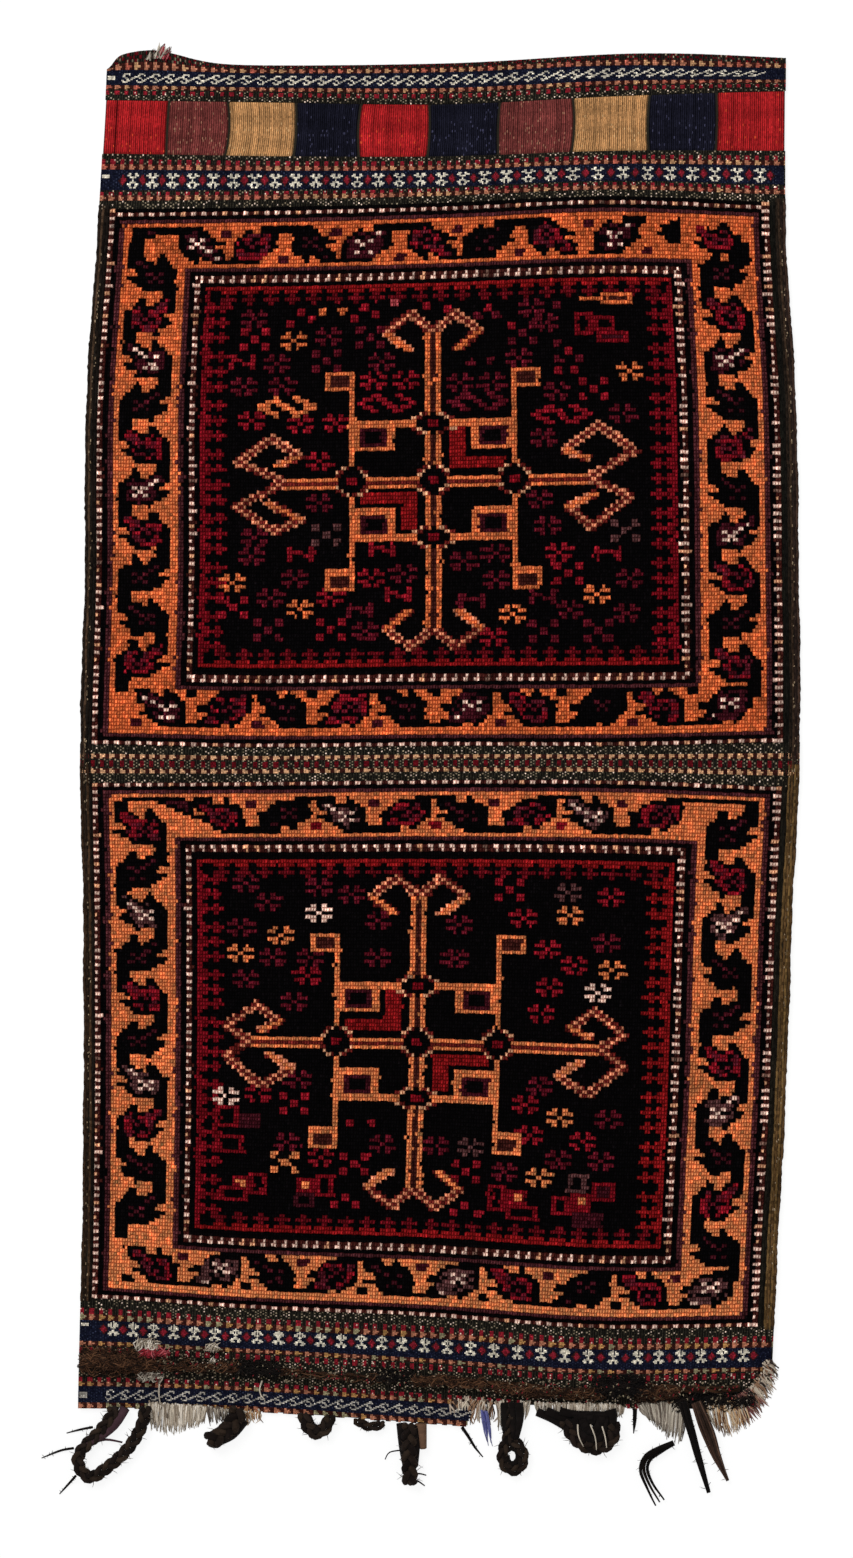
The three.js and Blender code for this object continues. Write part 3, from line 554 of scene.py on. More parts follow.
def draw_teeth(chart, right_yarn):
    left, right = TOOTH_BASE_COLUMN, KNOTS_ACROSS - TOOTH_BASE_COLUMN
    top, foot = TOOTH_BASE_ROW, KNOT_ROWS - TOOTH_BASE_ROW
    for edge, way, yarn in ((left, 1, "red"), (right, -1, right_yarn)):
        chart.block(min(edge, edge + way), top, max(edge, edge + way), foot, yarn)
        for k in range(TEETH_DOWN):
            row = int(top + CORNER_ROWS + (k + 0.5) * (foot - top - 2 * CORNER_ROWS) / TEETH_DOWN)
            for start, stop, above, below in [TOOTH_STEP] + TOOTH_CROSS:
                sides = sorted((edge + way * start, edge + way * stop))
                chart.block(sides[0], row + above, sides[1], row + below, yarn)
    for edge, way in ((top, 1), (foot, -1)):
        chart.block(left, min(edge, edge + way), right, max(edge, edge + way), "brick")
        for k in range(TEETH_ACROSS):
            pitch = (right - left - 2 * CORNER_COLUMNS) / TEETH_ACROSS
            column = int(left + CORNER_COLUMNS + (k + 0.5) * pitch)
            for start, stop, before, after in [TOOTH_STEP] + TOOTH_CROSS:
                ends = sorted((edge + way * start, edge + way * stop))
                yarn = "brick" if start == 0 else "tooth_red"
                chart.block(column + before, ends[0], column + after, ends[1], yarn)


# The medallion, in knots to the right and rows up from its middle
STEM_REACH = 41
STEM_HALF = 1.6
STEM_CORE_HALF = 0.6
ARM_ROWS = (-2, 1)
ARM_CORE_ROWS = (-1, 0)
POST = 15
POST_REACH = 23.6
POST_HALF = 0.6
BAR_UP = 15.2
BAR_HALF = 0.75
NODE_ON_STEM = (3.8, 3.0)
NODE_ON_ARM = (3.0, 4.6)
NODE_CROSS_HALF = 0.55
# A node's rim in one quarter, from and to as shares of its half width and half height
NODE_RIM = [(0.4, 0.8), (0.9, 0.4)]
NODE_RIM_HALF = 0.6
HOOK_HALF = 1.05
HOOK_END_HALF = 0.6
STEM_HOOK = [(0.9, -1), (4, 3), (8.7, -2), (4.6, -6.4)]
SMALL_HOOK = [(0, 0.8), (3.6, 3.6), (-2, 9.7), (-6.4, 5.2), (-3, 2.8)]
LONG_HOOK = [(0, 0.8), (3.5, 4.6), (-3, 12.4), (-8.5, 7.6), (-4.6, 3.9)]
# How far each arm reaches, and the hooks over and under its end
UPPER_ARMS = {
    1: (30.5, [(-1, 0.8), (6.6, 6.6), (0, 13.7), (-6.2, 7.1), (-2.2, 5)],
        [(-1, 0.8), (5.7, 5), (-1.4, 13), (-5.7, 7.6), (-0.8, 4.4)]),
    -1: (29.2, [(-1, 0.8), (6.9, 5.6), (0.5, 11.6), (-4.3, 6.8), (-0.9, 4.6)],
         [(-1, 0.8), (7.1, 6.2), (0, 13), (-4.7, 9.8), (1.2, 5.4)]),
}
LOWER_ARMS = {1: (35, SMALL_HOOK, LONG_HOOK), -1: (32, SMALL_HOOK, LONG_HOOK)}
RED_CORNER = [(3, 13.5), (3, 3), (13.4, 3), (13.4, 6), (6, 6), (6, 13.5)]
QUARTERS = [(1, 1), (-1, 1), (-1, -1), (1, -1)]
# Boxes of one quarter, each drawn over the one before: left, right, low, high and yarn
QUARTER_BOXES = [
    (7, 15.4, 7.5, 15.9, "orange"), (8.6, 13.6, 9.1, 14.4, "plum"),
    (14.4, 20, 23.5, 29, "orange"), (15.6, 18.8, 24.7, 27.8, "brown"),
]
BOX_HEART = (11.1, 11.7)
BOX_HEART_SIZE = (3, 3)
UPPER_MIDDLE = (62, 73)
LOWER_MIDDLE = (60, 70)
UPPER_RED_QUARTERS = [(1, 1), (-1, -1)]
LOWER_RED_QUARTERS = [(-1, 1), (1, -1)]


def draw_medallion(chart, middle, red_quarters, arms):
    column, row = middle

    def move(across, up):
        return column + across, row - up

    def box(left, right, low, high, yarn):
        chart.block(column + left, row - high, column + right, row - low, yarn)

    alternate = (chart.x.astype(int) + chart.y.astype(int)) % 2 == 0
    for right, up in red_quarters:
        chart.fill([move(x * right, y * up) for x, y in RED_CORNER], "brick")
    box(-STEM_HALF, STEM_HALF, -STEM_REACH, STEM_REACH, "orange")
    box(-STEM_CORE_HALF, STEM_CORE_HALF, -STEM_REACH, STEM_REACH, "brown")
    box(-arms[-1][0], arms[1][0], *ARM_ROWS, "orange")
    box(-arms[-1][0], arms[1][0], *ARM_CORE_ROWS, "rust")
    for side in (-1, 1):
        chart.line([move(side * POST, -POST_REACH), move(side * POST, POST_REACH)], POST_HALF, "orange")
        chart.line([move(-POST, side * BAR_UP), move(POST, side * BAR_UP)], BAR_HALF, "orange")
    for right, up in QUARTERS:
        for left, far, low, high, yarn in QUARTER_BOXES:
            corners = ((left, low), (far, low), (far, high), (left, high))
            chart.fill([move(x * right, y * up) for x, y in corners], yarn)
        chart.spot(*move(BOX_HEART[0] * right, BOX_HEART[1] * up), "dark", *BOX_HEART_SIZE)
        reach, over, under = arms[right]
        for start_x, start_y, hook in ((0, STEM_REACH, STEM_HOOK), (reach, 0, over if up > 0 else under)):
            line = [move((start_x + x) * right, (start_y + y) * up) for x, y in hook]
            mask = chart.near(line, HOOK_HALF)
            chart.paint(mask, "rust")
            chart.paint(mask & alternate, "peach")
            chart.paint(chart.near(line[-2:], HOOK_END_HALF), "orange")
    for x, y in ((0, 0), (0, POST), (0, -POST), (POST, 0), (-POST, 0)):
        wide, tall = NODE_ON_STEM if x == 0 and y != 0 else NODE_ON_ARM
        diamond = [(x - wide, y), (x, y - tall), (x + wide, y), (x, y + tall)]
        chart.fill([move(*at) for at in diamond], "dark")
        chart.line([move(x - 1, y), move(x + 1, y)], NODE_CROSS_HALF, "red")
        chart.line([move(x, y - 1), move(x, y + 1)], NODE_CROSS_HALF, "red")
        for right, up in QUARTERS:
            rim = [move(x + across * wide * right, y + along * tall * up) for across, along in NODE_RIM]
            chart.line(rim, NODE_RIM_HALF, "rust")
            chart.paint(chart.near(rim, NODE_RIM_HALF) & alternate, "cream")


def draw_fillers(chart, fillers, boxes):
    for shape, yarn, places in fillers:
        for x, y in places:
            shape(chart, x, y, yarn)
    for outline, heart, left, top, right, foot in boxes:
        chart.block(left, top, right, foot, outline)
        chart.block(left + 1, top + 1, right - 1, foot - 1, heart)


def bordered_chart(first_end, sides, ends, blocks, shapes):
    """A panel's chart with its guards and its leaves."""
    chart = Chart(KNOTS_ACROSS, KNOT_ROWS, "dark", TIPS)
    ring = draw_borders(chart, first_end)
    for leaves in sides:
        side_leaves(chart, *leaves)
    for leaves in ends:
        end_leaves(chart, *leaves)
    for block in blocks:
        chart.block(*block)
    for shape in shapes:
        chart.fill(*shape)
    return chart, ring


def upper_chart():
    chart, ring = bordered_chart(
        FIRST_END_RINGS, UPPER_SIDE_LEAVES, UPPER_END_LEAVES, UPPER_CORNER_BLOCKS, UPPER_CORNER_SHAPES)

    def move(across, down):
        return CORNER_LEAF_AT[0] + across, CORNER_LEAF_AT[1] + down * CORNER_LEAF_TALL

    draw_leaf(chart, CORNER_LEAF, move, "red")
    draw_teeth(chart, "red")
    draw_fillers(chart, UPPER_FILLERS, UPPER_BOXES)
    draw_medallion(chart, UPPER_MIDDLE, UPPER_RED_QUARTERS, UPPER_ARMS)
    unsettle(chart, ring, seed=41)
    return chart, ring


def lower_chart():
    chart, ring = bordered_chart(
        END_RINGS, LOWER_SIDE_LEAVES, LOWER_END_LEAVES, LOWER_CORNER_BLOCKS, LOWER_CORNER_SHAPES)
    draw_teeth(chart, "brick")
    draw_fillers(chart, LOWER_FILLERS, LOWER_BOXES)
    for x, y in LOWER_BOX_HEARTS:
        dot(chart, x, y, "orange")
    draw_medallion(chart, LOWER_MIDDLE, LOWER_RED_QUARTERS, LOWER_ARMS)
    unsettle(chart, ring, seed=42)
    return chart, ring


# Finishes
def node_tree(material):
    material.use_nodes = True
    tree = material.node_tree
    return tree, tree.nodes["Principled BSDF"]


# All wools: scale and detail of the lots of dye, the noise that counts, detail and depth of the fibres
LOTS_SCALE = 38
LOTS_DETAIL = 3
LOTS_NOISE = (0.3, 0.7)
FIBRE_DETAIL = 4
FIBRE_DEPTH = 0.0006
SHEEN_ROUGHNESS = 0.5
WOOL_SPECULAR = 0.02


def wool(name, rough, sheen, grain, bump, mottle):
    """Dyed wool: the yarn's own colour, uneven from lot to lot, with a fine fibrous bump."""
    material = bpy.data.materials.new(name)
    tree, shader = node_tree(material)
    yarn = tree.nodes.new("ShaderNodeAttribute")
    yarn.attribute_name = "yarn"
    place = tree.nodes.new("ShaderNodeTexCoord")
    lots = tree.nodes.new("ShaderNodeTexNoise")
    lots.inputs["Scale"].default_value = LOTS_SCALE
    lots.inputs["Detail"].default_value = LOTS_DETAIL
    span = tree.nodes.new("ShaderNodeMapRange")
    span.inputs["From Min"].default_value = LOTS_NOISE[0]
    span.inputs["From Max"].default_value = LOTS_NOISE[1]
    span.inputs["To Min"].default_value = 1 - mottle
    span.inputs["To Max"].default_value = 1 + mottle
    shade = tree.nodes.new("ShaderNodeVectorMath")
    shade.operation = "SCALE"
    fibre = tree.nodes.new("ShaderNodeTexNoise")
    fibre.inputs["Scale"].default_value = grain
    fibre.inputs["Detail"].default_value = FIBRE_DETAIL
    raised = tree.nodes.new("ShaderNodeBump")
    raised.inputs["Strength"].default_value = bump
    raised.inputs["Distance"].default_value = FIBRE_DEPTH
    link = tree.links.new
    link(place.outputs["Object"], lots.inputs["Vector"])
    link(place.outputs["Object"], fibre.inputs["Vector"])
    link(lots.outputs["Fac"], span.inputs["Value"])
    link(yarn.outputs["Color"], shade.inputs[0])
    link(span.outputs["Result"], shade.inputs["Scale"])
    link(shade.outputs["Vector"], shader.inputs["Base Color"])
    link(fibre.outputs["Fac"], raised.inputs["Height"])
    link(raised.outputs["Normal"], shader.inputs["Normal"])
    shader.inputs["Roughness"].default_value = rough
    shader.inputs["Sheen Weight"].default_value = sheen
    shader.inputs["Sheen Roughness"].default_value = SHEEN_ROUGHNESS
    shader.inputs["Specular IOR Level"].default_value = WOOL_SPECULAR
    return material


PILE_WOOL = wool("pile_wool", rough=0.9, sheen=0.008, grain=900, bump=0.4, mottle=0.14)
FLAT_WOOL = wool("flatwoven_wool", rough=0.95, sheen=0.02, grain=1300, bump=0.5, mottle=0.16)
HAIR = wool("goat_hair", rough=0.8, sheen=0.03, grain=1500, bump=0.6, mottle=0.25)
FRINGE_WOOL = wool("warp_wool", rough=0.9, sheen=0.1, grain=1600, bump=0.4, mottle=0.15)


def mesh_of(name, shape):
    """Turns a bmesh into mesh data."""
    data = bpy.data.meshes.new(name)
    shape.to_mesh(data)
    shape.free()
    return data


def linked(name, data):
    made = bpy.data.objects.new(name, data)
    bpy.context.scene.collection.objects.link(made)
    return made


def corners_of(data):
    corners = np.zeros(len(data.loops), np.int32)
    data.loops.foreach_get("vertex_index", corners)
    return corners


def values_of(data, attribute, count):
    values = np.zeros(count, np.int32)
    data.attributes[attribute].data.foreach_get("value", values)
    return values


def dress(name, data, colours, material, nodes, flat_map=True):
    """A piece of a mesh, with one colour for each face or for each of its corners."""
    data.materials.clear()
    data.materials.append(material)
    domain = "FACE" if len(colours) == len(data.polygons) else "CORNER"
    yarn = data.attributes.new("yarn", "FLOAT_COLOR", domain)
    rgba = np.ones((len(colours), 4), np.float32)
    rgba[:, :3] = colours
    yarn.data.foreach_set("color", rgba.ravel())
    if flat_map:
        points = np.zeros(len(data.vertices) * 3, np.float32)
        data.vertices.foreach_get("co", points)
        points = points.reshape(-1, 3)
        low, high = points[:, :2].min(0), points[:, :2].max(0)
        bake = data.uv_layers.new(name="OFBake")
        bake.data.foreach_set("uv", ((points[corners_of(data), :2] - low) / (high - low).max()).ravel())
    piece = linked(name, data)
    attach(piece, "root")
    if nodes:
        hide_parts(*nodes)
    return piece


def charted_grid(yarns, kept):
    """A grid with one face for each stitch of a chart, in stitches from the chart's left foot."""
    rows, columns = yarns.shape
    mesh = bmesh.new()
    number = mesh.faces.layers.int.new("stitch")
    mesh.verts.layers.int.new("tip")
    bmesh.ops.create_grid(mesh, x_segments=columns, y_segments=rows, size=0.5)
    for face in mesh.faces:
        middle = face.calc_center_median()
        column = int((middle.x + 0.5) * columns)
        row = rows - 1 - int((middle.y + 0.5) * rows)
        face[number] = row * columns + column
    if kept is not None:
        dropped = [face for face in mesh.faces if not kept[face[number] // columns, face[number] % columns]]
        bmesh.ops.delete(mesh, geom=dropped, context="FACES")
    for vert in mesh.verts:
        vert.co.x = (vert.co.x + 0.5) * columns
        vert.co.y = (vert.co.y + 0.5) * rows
    return mesh, number


def put_on_cloth(mesh, x, y, up):
    """Moves a mesh's points to their places on the cloth, as far above the top of the ground as up says."""
    placed_x, placed_y = lay(x, y)
    z = GROUND + swell(placed_x, placed_y) + up
    for vert, at in zip(mesh.verts, np.stack([placed_x, placed_y, z], 1) * MM):
        vert.co = at


YARN_UNEVEN = 0.3


def yarn_shades(yarns, seed):
    """A colour for each stitch, with each length of yarn lighter or darker than the next."""
    rng = np.random.default_rng(seed)
    colours = YARN_COLOURS[yarns].reshape(-1, 3)
    return colours * np.exp(YARN_UNEVEN * rng.normal(size=(len(colours), 1)))


def lifts_of(usual, **others):
    """How far the stitches of each yarn stand up, in millimetres."""
    lifts = np.full(len(YARNS), usual)
    for name, lift in others.items():
        lifts[YARN_NUMBER[name]] = lift
    return lifts


PILE_LIFTS = lifts_of(2.3, dark=1.3, brown=1.7, plum=1.9)
KNOT = ((PILE_RIGHT - PILE_LEFT) / KNOTS_ACROSS, (UPPER_TOP - UPPER_FOOT) / KNOT_ROWS)
LOWER_KNOT = (KNOT[0], (LOWER_TOP - LOWER_FOOT) / KNOT_ROWS)
BORDER_NODES = ["dark_pile", "outer_guard", "leaf_border", "inner_guard"]
FIELD_NODES = ["sawtooth", "medallion", "red_corner_1", "red_corner_2"]
# How a stitch stands: share of its height at the root, sway, lean, then the painted shade of its root, where
# shade falls between the stitches, and the painted highlight of its tip
PILE_STAND = (0.4, 0.3, -0.15, np.array([0.5, 0.3, 0.3]), 1.75)
FLAT_STAND = (0.35, 0.1, 0.0, np.array([0.6, 0.6, 0.6]), 1.55)
TIP_UNEVEN = 0.16


def tufts(name, yarns, kept, corner, size, lifts, stand, shades, material, nodes, seed):
    """Stitches that each come to a tip, with painted shade at the root and a painted highlight on the tip:
    knots of pile, or the stitches of a flatweave.
    """
    root, sway, lean, painted_root_shade, painted_tip_light = stand
    rng = np.random.default_rng(seed)
    mesh, number = charted_grid(yarns, kept)
    tip = mesh.verts.layers.int["tip"]
    poked = bmesh.ops.poke(mesh, faces=list(mesh.faces))["verts"]
    for vert in poked:
        vert[tip] = 1
    mesh.verts.index_update()
    jitter = rng.uniform(-1, 1, (len(mesh.verts), 3))
    stitches = np.array([vert.link_faces[0][number] for vert in mesh.verts])
    is_tip = np.array([vert[tip] for vert in mesh.verts], bool)
    high = lifts[yarns].ravel()[stitches]
    shift = jitter * [sway / 2, sway / 2, 0]
    shift[:, 2] = high * root
    shift[is_tip] = jitter[is_tip] * [sway, sway, 0] + [0, lean, 0]
    shift[is_tip, 2] = (high * (1 + TIP_UNEVEN * jitter[:, 2]))[is_tip]
    points = np.array([vert.co for vert in mesh.verts])
    x = corner[0] + (points[:, 0] + shift[:, 0]) * size[0]
    y = corner[1] - (len(yarns) - points[:, 1] - shift[:, 1]) * size[1]
    put_on_cloth(mesh, x, y, shift[:, 2])
    data = mesh_of(name, mesh)
    stitch = values_of(data, "stitch", len(data.polygons))
    is_tip = values_of(data, "tip", len(data.vertices))
    colours = np.repeat(shades[stitch], 3, axis=0)
    # Painted shade at the roots, where the stitches shade each other, and a painted highlight on the tips
    colours *= np.where(is_tip[corners_of(data)][:, None], painted_tip_light, painted_root_shade)
    return dress(name, data, colours, material, nodes)


def pile_panel(panel, chart, ring, top, knot, warm, seed):
    """The knotted pile of a panel, whose orange turns to straw as far as warm says, from the top down."""
    shades = yarn_shades(chart.yarn, seed)
    rows, columns = chart.yarn.shape
    is_orange = (chart.yarn == YARN_NUMBER["orange"]).ravel()
    down = np.repeat(np.arange(rows), columns) / rows
    tint = np.interp(down, np.linspace(0, 1, len(warm)), warm)
    straw = YARN_COLOURS[YARN_NUMBER["straw"]]
    shades[is_orange] += (tint[:, None] * (straw - YARN_COLOURS[YARN_NUMBER["orange"]]))[is_orange]
    size = (knot[0] / TIPS, knot[1])
    made = []
    for part, kept, nodes, slot in (
        ("border", ring < FIELD_RING, BORDER_NODES, "orange_pile"),
        ("field", ring >= FIELD_RING, FIELD_NODES, "dark_pile"),
    ):
        name = f"{panel}_{part}_knots"
        nodes = [f"{panel}_{node}" for node in nodes]
        made.append(tufts(
            name, chart.yarn, kept, (PILE_LEFT, top), size, PILE_LIFTS, PILE_STAND, shades,
            PILE_WOOL, nodes, seed))
    return made


# The flatwoven ends and the fold, drawn in millimetres from the band's left top corner
FLAT_STITCH = CLOTH_WIDTH / FLAT_COLUMNS
FLAT_ROW = 0.85
FLAT_LIFTS = lifts_of(0.55, olive=0.4, dark_olive=0.3, navy=0.4)
# How far the warps wander to the side, and over how many stitches
WARP_WANDER = 0.9
WANDER_STITCHES = 37
# The twill of the specks: stitches that it moves on from row to row, and stitches to a repeat
TWILL_SHIFT = 2
TWILL_REPEAT = 4
# Plain ends of the rows of figures: their sides, and how far they keep from the row's edges
END_BLOCK_SIDES = (0.8, 6)
SCROLL_END_INSET = 3
STAR_END_ROWS = (2, 4)
SCROLL_STARTS = {"white": 10, "grey": 17}
SCROLL_PERIOD = 9.2
SCROLL_TALL = 5.8
SCROLL_SHRINK = 0.22
SCROLL_LINES = [
    [(5, 1.3), (4.6, 0.4), (3.2, 0.2), (1.6, 0.7), (0.6, 2), (2.8, 3), (3.8, 4), (3.4, 5.2), (1.7, 5.6),
     (0.3, 4.6)],
    [(4.2, 4.7), (7.6, 2.7), (10.8, 1.2)],
]
SCROLL_HALF = 0.44
STAR_PERIOD = 12.1
STAR_WING = [(-0.6, -0.6), (-3.9, -2.1), (-1.6, -3.8), (1.6, -3.8), (3.9, -2.1), (0.6, -0.6)]
STAR_EYE = [(-0.9, -1.7), (-0.9, -2.9), (-0.45, -4), (0.45, -4), (0.9, -2.9), (0.9, -1.7)]
# Where the stars stand: the first, and then how far each is from the one before
TOP_STARS = list(20.3 + np.cumsum([0] + 10 * [12.3] + 11 * [13.2] + 3 * [15.2] + 5 * [14.1]))
BOTTOM_STARS = list(21 + np.cumsum([0] + 6 * [12.2] + 8 * [12.65] + 8 * [13.9] + 2 * [15.1] + 5 * [13.1]))
STAR_HEART = [(-2.1, 0), (0, -2.5), (2.1, 0), (0, 2.5)]
HEART_RIM = (1.45, 1.3)
PRONG = 1
CROWN = 4.6
PRONG_HALF = 0.42
DASH_PERIOD = 5.9
DASH_LONG = 3.7
# A dash's length in its middle, and how much shorter it gets towards its edges, as shares
DASH_MIDDLE = 1.1
DASH_TAPER = 1.4
# Yarns of the dashes, and the lots from which the second and the third are taken
PEACH_TONES = {
    "peach": ("dull_peach", "sand", "rose"),
    "worn_peach": ("dull_peach", "ochre", "sage"),
    "light": ("cream", "sand", "cream"),
}
TONE_LOTS = (0, 0.55, 0.8)
RED_WIDE = 2.5
RED_DROP = 0.25
DULL_RED_HALF = 0.25
# Lots up to which, or from which, a stitch takes another yarn
SPECKS_IN_SPECKLED = 0.5
IVORY_IN_SPECKLED = 0.14
RED_IN_EDGE = 0.6
SPECKS_FROM_IN_EDGE = 0.8
SPECKS_IN_RED = 0.4
IVORY_IN_RED = 0.06
SPECKS_IN_DULL_RED = 0.7
SLATE_FROM = 0.35


def draw_scrolls(chart, top, foot, yarn):
    chart.block(0, top, CLOTH_WIDTH, foot, "navy")
    left, right = END_BLOCK_SIDES
    chart.block(left, top + SCROLL_END_INSET, right, foot - SCROLL_END_INSET, yarn)
    first = SCROLL_STARTS[yarn]
    count = int((CLOTH_WIDTH - first) / SCROLL_PERIOD) - 1
    for k in range(count):
        lower = 1 - SCROLL_SHRINK * k / count
        start = (top + foot - SCROLL_TALL * lower) / 2
        for line in SCROLL_LINES:
            placed = [(first + k * SCROLL_PERIOD + x, start + y * lower) for x, y in line]
            chart.line(placed, SCROLL_HALF, yarn)


def draw_stars(chart, top, foot, places, crowned):
    chart.block(0, top, CLOTH_WIDTH, foot, "navy")
    left, right = END_BLOCK_SIDES
    chart.block(left, top + STAR_END_ROWS[0], right, top + STAR_END_ROWS[1], "white")
    middle = (top + foot) / 2
    for at in places:
        for side in (-1, 1):
            chart.fill([(at + x, middle + y * side) for x, y in STAR_WING], "white")
            chart.fill([(at + x, middle + y * side) for x, y in STAR_EYE], "navy")
        chart.line([(at, middle - (CROWN if crowned else PRONG)), (at, middle + PRONG)], PRONG_HALF, "white")
    for at, after in zip([places[0] - STAR_PERIOD] + places, places + [places[-1] + STAR_PERIOD]):
        between = (at + after) / 2
        rim = [(between + HEART_RIM[0] * x, middle + HEART_RIM[1] * y) for x, y in STAR_HEART]
        chart.fill(rim, "brown")
        chart.fill([(between + x, middle + y) for x, y in STAR_HEART], "star_red")


def flat_chart(length, bands, seed):
    """Bands as depth from the top, depth to, kind."""
    rows = round(length / FLAT_ROW)
    chart = Chart(FLAT_COLUMNS, rows, "olive")
    columns, lines = np.arange(FLAT_COLUMNS), np.arange(rows)[:, None]
    chart.x = chart.x * FLAT_STITCH + WARP_WANDER * np.sin(chart.x / WANDER_STITCHES)
    chart.y = chart.y * length / rows
    chart.paint(columns % 2 == 0, "dark_olive")
    speck = np.random.default_rng(seed).random(chart.yarn.shape)
    weave = (columns + TWILL_SHIFT * lines) % TWILL_REPEAT == 0
    along = chart.x % DASH_PERIOD
    for start, stop, kind in bands:
        band = np.broadcast_to((chart.y >= start) & (chart.y < stop), chart.yarn.shape)
        middle, deep = (start + stop) / 2, stop - start
        if kind == "speckled":
            chart.paint(band & weave & (speck < SPECKS_IN_SPECKLED), "speck")
            chart.paint(band & weave & (speck < IVORY_IN_SPECKLED), "ivory")
        elif kind == "edge":
            slid = (along + DASH_PERIOD / 2 * (lines % 2)) % DASH_PERIOD
            chart.paint(band & (slid < RED_WIDE) & (speck < RED_IN_EDGE), "tooth_red")
            chart.paint(band & weave & (speck > SPECKS_FROM_IN_EDGE), "speck")
        elif kind in PEACH_TONES:
            point = DASH_LONG * (DASH_MIDDLE - np.abs(chart.y - middle) / deep * DASH_TAPER)
            chart.paint(band, "brown")
            dash = (chart.x / DASH_PERIOD).astype(int)
            lot = np.random.default_rng(round(start)).random(FLAT_COLUMNS)[dash]
            for tone, least in zip(PEACH_TONES[kind], TONE_LOTS):
                chart.paint(band & (along < point) & (lot >= least), tone)
        elif kind == "red":
            chart.paint(band & weave & (speck < SPECKS_IN_RED), "speck")
            dash = band & (along < RED_WIDE) & (chart.y > start + RED_DROP * deep)
            chart.paint(dash, "bright_red")
            chart.paint(dash & (speck < IVORY_IN_RED), "ivory")
        elif kind == "dull_red":
            short = np.abs(chart.y - middle) < DULL_RED_HALF * deep
            chart.paint(band & weave & (speck < SPECKS_IN_DULL_RED), "speck")
            chart.paint(band & (along < RED_WIDE) & short, "tooth_red")
        elif kind == "navy":
            chart.paint(band, "navy")
        elif kind == "top_stars":
            draw_stars(chart, start, stop, TOP_STARS, False)
        elif kind == "bottom_stars":
            draw_stars(chart, start, stop, BOTTOM_STARS, True)
        else:
            draw_scrolls(chart, start, stop, kind)
    chart.paint((chart.yarn == YARN_NUMBER["navy"]) & weave & (speck > SLATE_FROM), "slate")
    return chart


TOP_BANDS = [
    (0, 2.6, "edge"), (2.6, 5.2, "peach"), (5.2, 14, "white"), (14, 16.6, "peach"), (16.6, 20, "red"),
    (20, 23.5, "speckled"),
]
UNDER_SQUARE_BANDS = [
    (0, 2, "speckled"), (2, 5, "red"), (5, 8, "peach"), (8, 17.4, "top_stars"), (17.4, 20.4, "red"),
    (20.4, 23, "peach"), (23, 27, "speckled"),
]
FOLD_BANDS = [
    (0, 4.6, "speckled"), (4.6, 7.2, "light"), (7.2, 12.8, "dull_red"), (12.8, 15.4, "light"),
    (15.4, 20, "speckled"),
]
BOTTOM_BANDS = [
    (0, 4.5, "speckled"), (4.5, 9, "red"), (9, 12.4, "worn_peach"), (12.4, 22.5, "bottom_stars"),
    (22.5, 24.5, "navy"), (24.5, 27, "worn_peach"), (27, 31, "red"), (31, 44, "speckled"),
    (44, 47.4, "red"), (47.4, 50, "worn_peach"), (50, 59.5, "grey"), (59.5, 62.5, "worn_peach"),
]


# How raggedly the stitches end where the cloth has worn away, in millimetres, and how many end together
RAGGED = 1.5
RAGGED_STITCHES = 4


def flat_piece(name, top, foot, bands, nodes, seed, worn=None):
    """Flatwoven bands, whose stitches end where the cloth has worn away."""
    chart = flat_chart(top - foot, bands, seed)
    rows, columns = chart.yarn.shape
    size = (FLAT_STITCH, (top - foot) / rows)
    kept = None
    if worn is not None:
        ends = np.random.default_rng(seed).uniform(-RAGGED, RAGGED, columns // RAGGED_STITCHES)
        ragged = np.repeat(ends, RAGGED_STITCHES)
        kept = top - foot - chart.y > worn((np.arange(columns) + 0.5) / columns) + ragged
    shades = yarn_shades(chart.yarn, seed)
    corner = (-CLOTH_WIDTH / 2, top)
    return tufts(
        name, chart.yarn, kept, corner, size, FLAT_LIFTS, FLAT_STAND, shades,
        FLAT_WOOL, nodes, seed)


# Ten slit-woven squares
SQUARE_SIDES = [0, 0.094, 0.18, 0.28, 0.376, 0.476, 0.58, 0.687, 0.8, 0.898, 1]
SQUARE_YARNS = [
    "bright_red", "mauve", "tan", "navy", "bright_red", "navy", "mauve", "tan", "navy", "bright_red",
]
# Each dye: its colour, that of the glints in it, and the chance of a glint
SQUARE_DYES = {
    "bright_red": ((160, 31, 34), (206, 74, 44), 0.012),
    "mauve": ((108, 51, 48), (150, 104, 84), 0.045),
    "tan": ((178, 132, 86), (206, 168, 120), 0.01),
    "navy": ((22, 22, 34), (62, 62, 86), 0.03),
}
# How much likelier a glint is in the lower and in the upper half of a square
GLINT_HALVES = (1.5, 0.5)
SLIT_BOWS = [0, -0.4, 1.7, 0.9, -1.2, 0.8, -0.7, 1.3, -0.9, 0.6, 0]
SQUARE_SEEDS = 700
SQUARE_ROWS = 24
SQUARE_GAP = 0.6
RIB = 1.28
# Heights above the ground: the square's edge, the foot of a rib, and how far a rib rises from it
EDGE_UP = -0.3
RIB_FOOT = 0.25
RIB_RISE = 0.45
AT_EDGE = 0.499
# Shades: lengths of weft along a rib, whole ribs, single faces, then painted shade in the ribs' valleys with
# a painted highlight on their crests, painted shade at the sides by the slits, and painted shade along the
# seam
LOT_DEPTH = 0.16
LOT_TURNS = 14
LOT_SPREAD = (0.3, 1)
RIB_SPREAD = (0.72, 1.28)
FACE_SPREAD = (0.7, 1.3)
RIB_PAINTED_LIGHT = (0.4, 1.15)
SIDE_SHADE = 1.7
SLIT_PAINTED_SHADE = 0.45
SEAM_AT = 7.0
SEAM_PAINTED_SHADE = 0.4


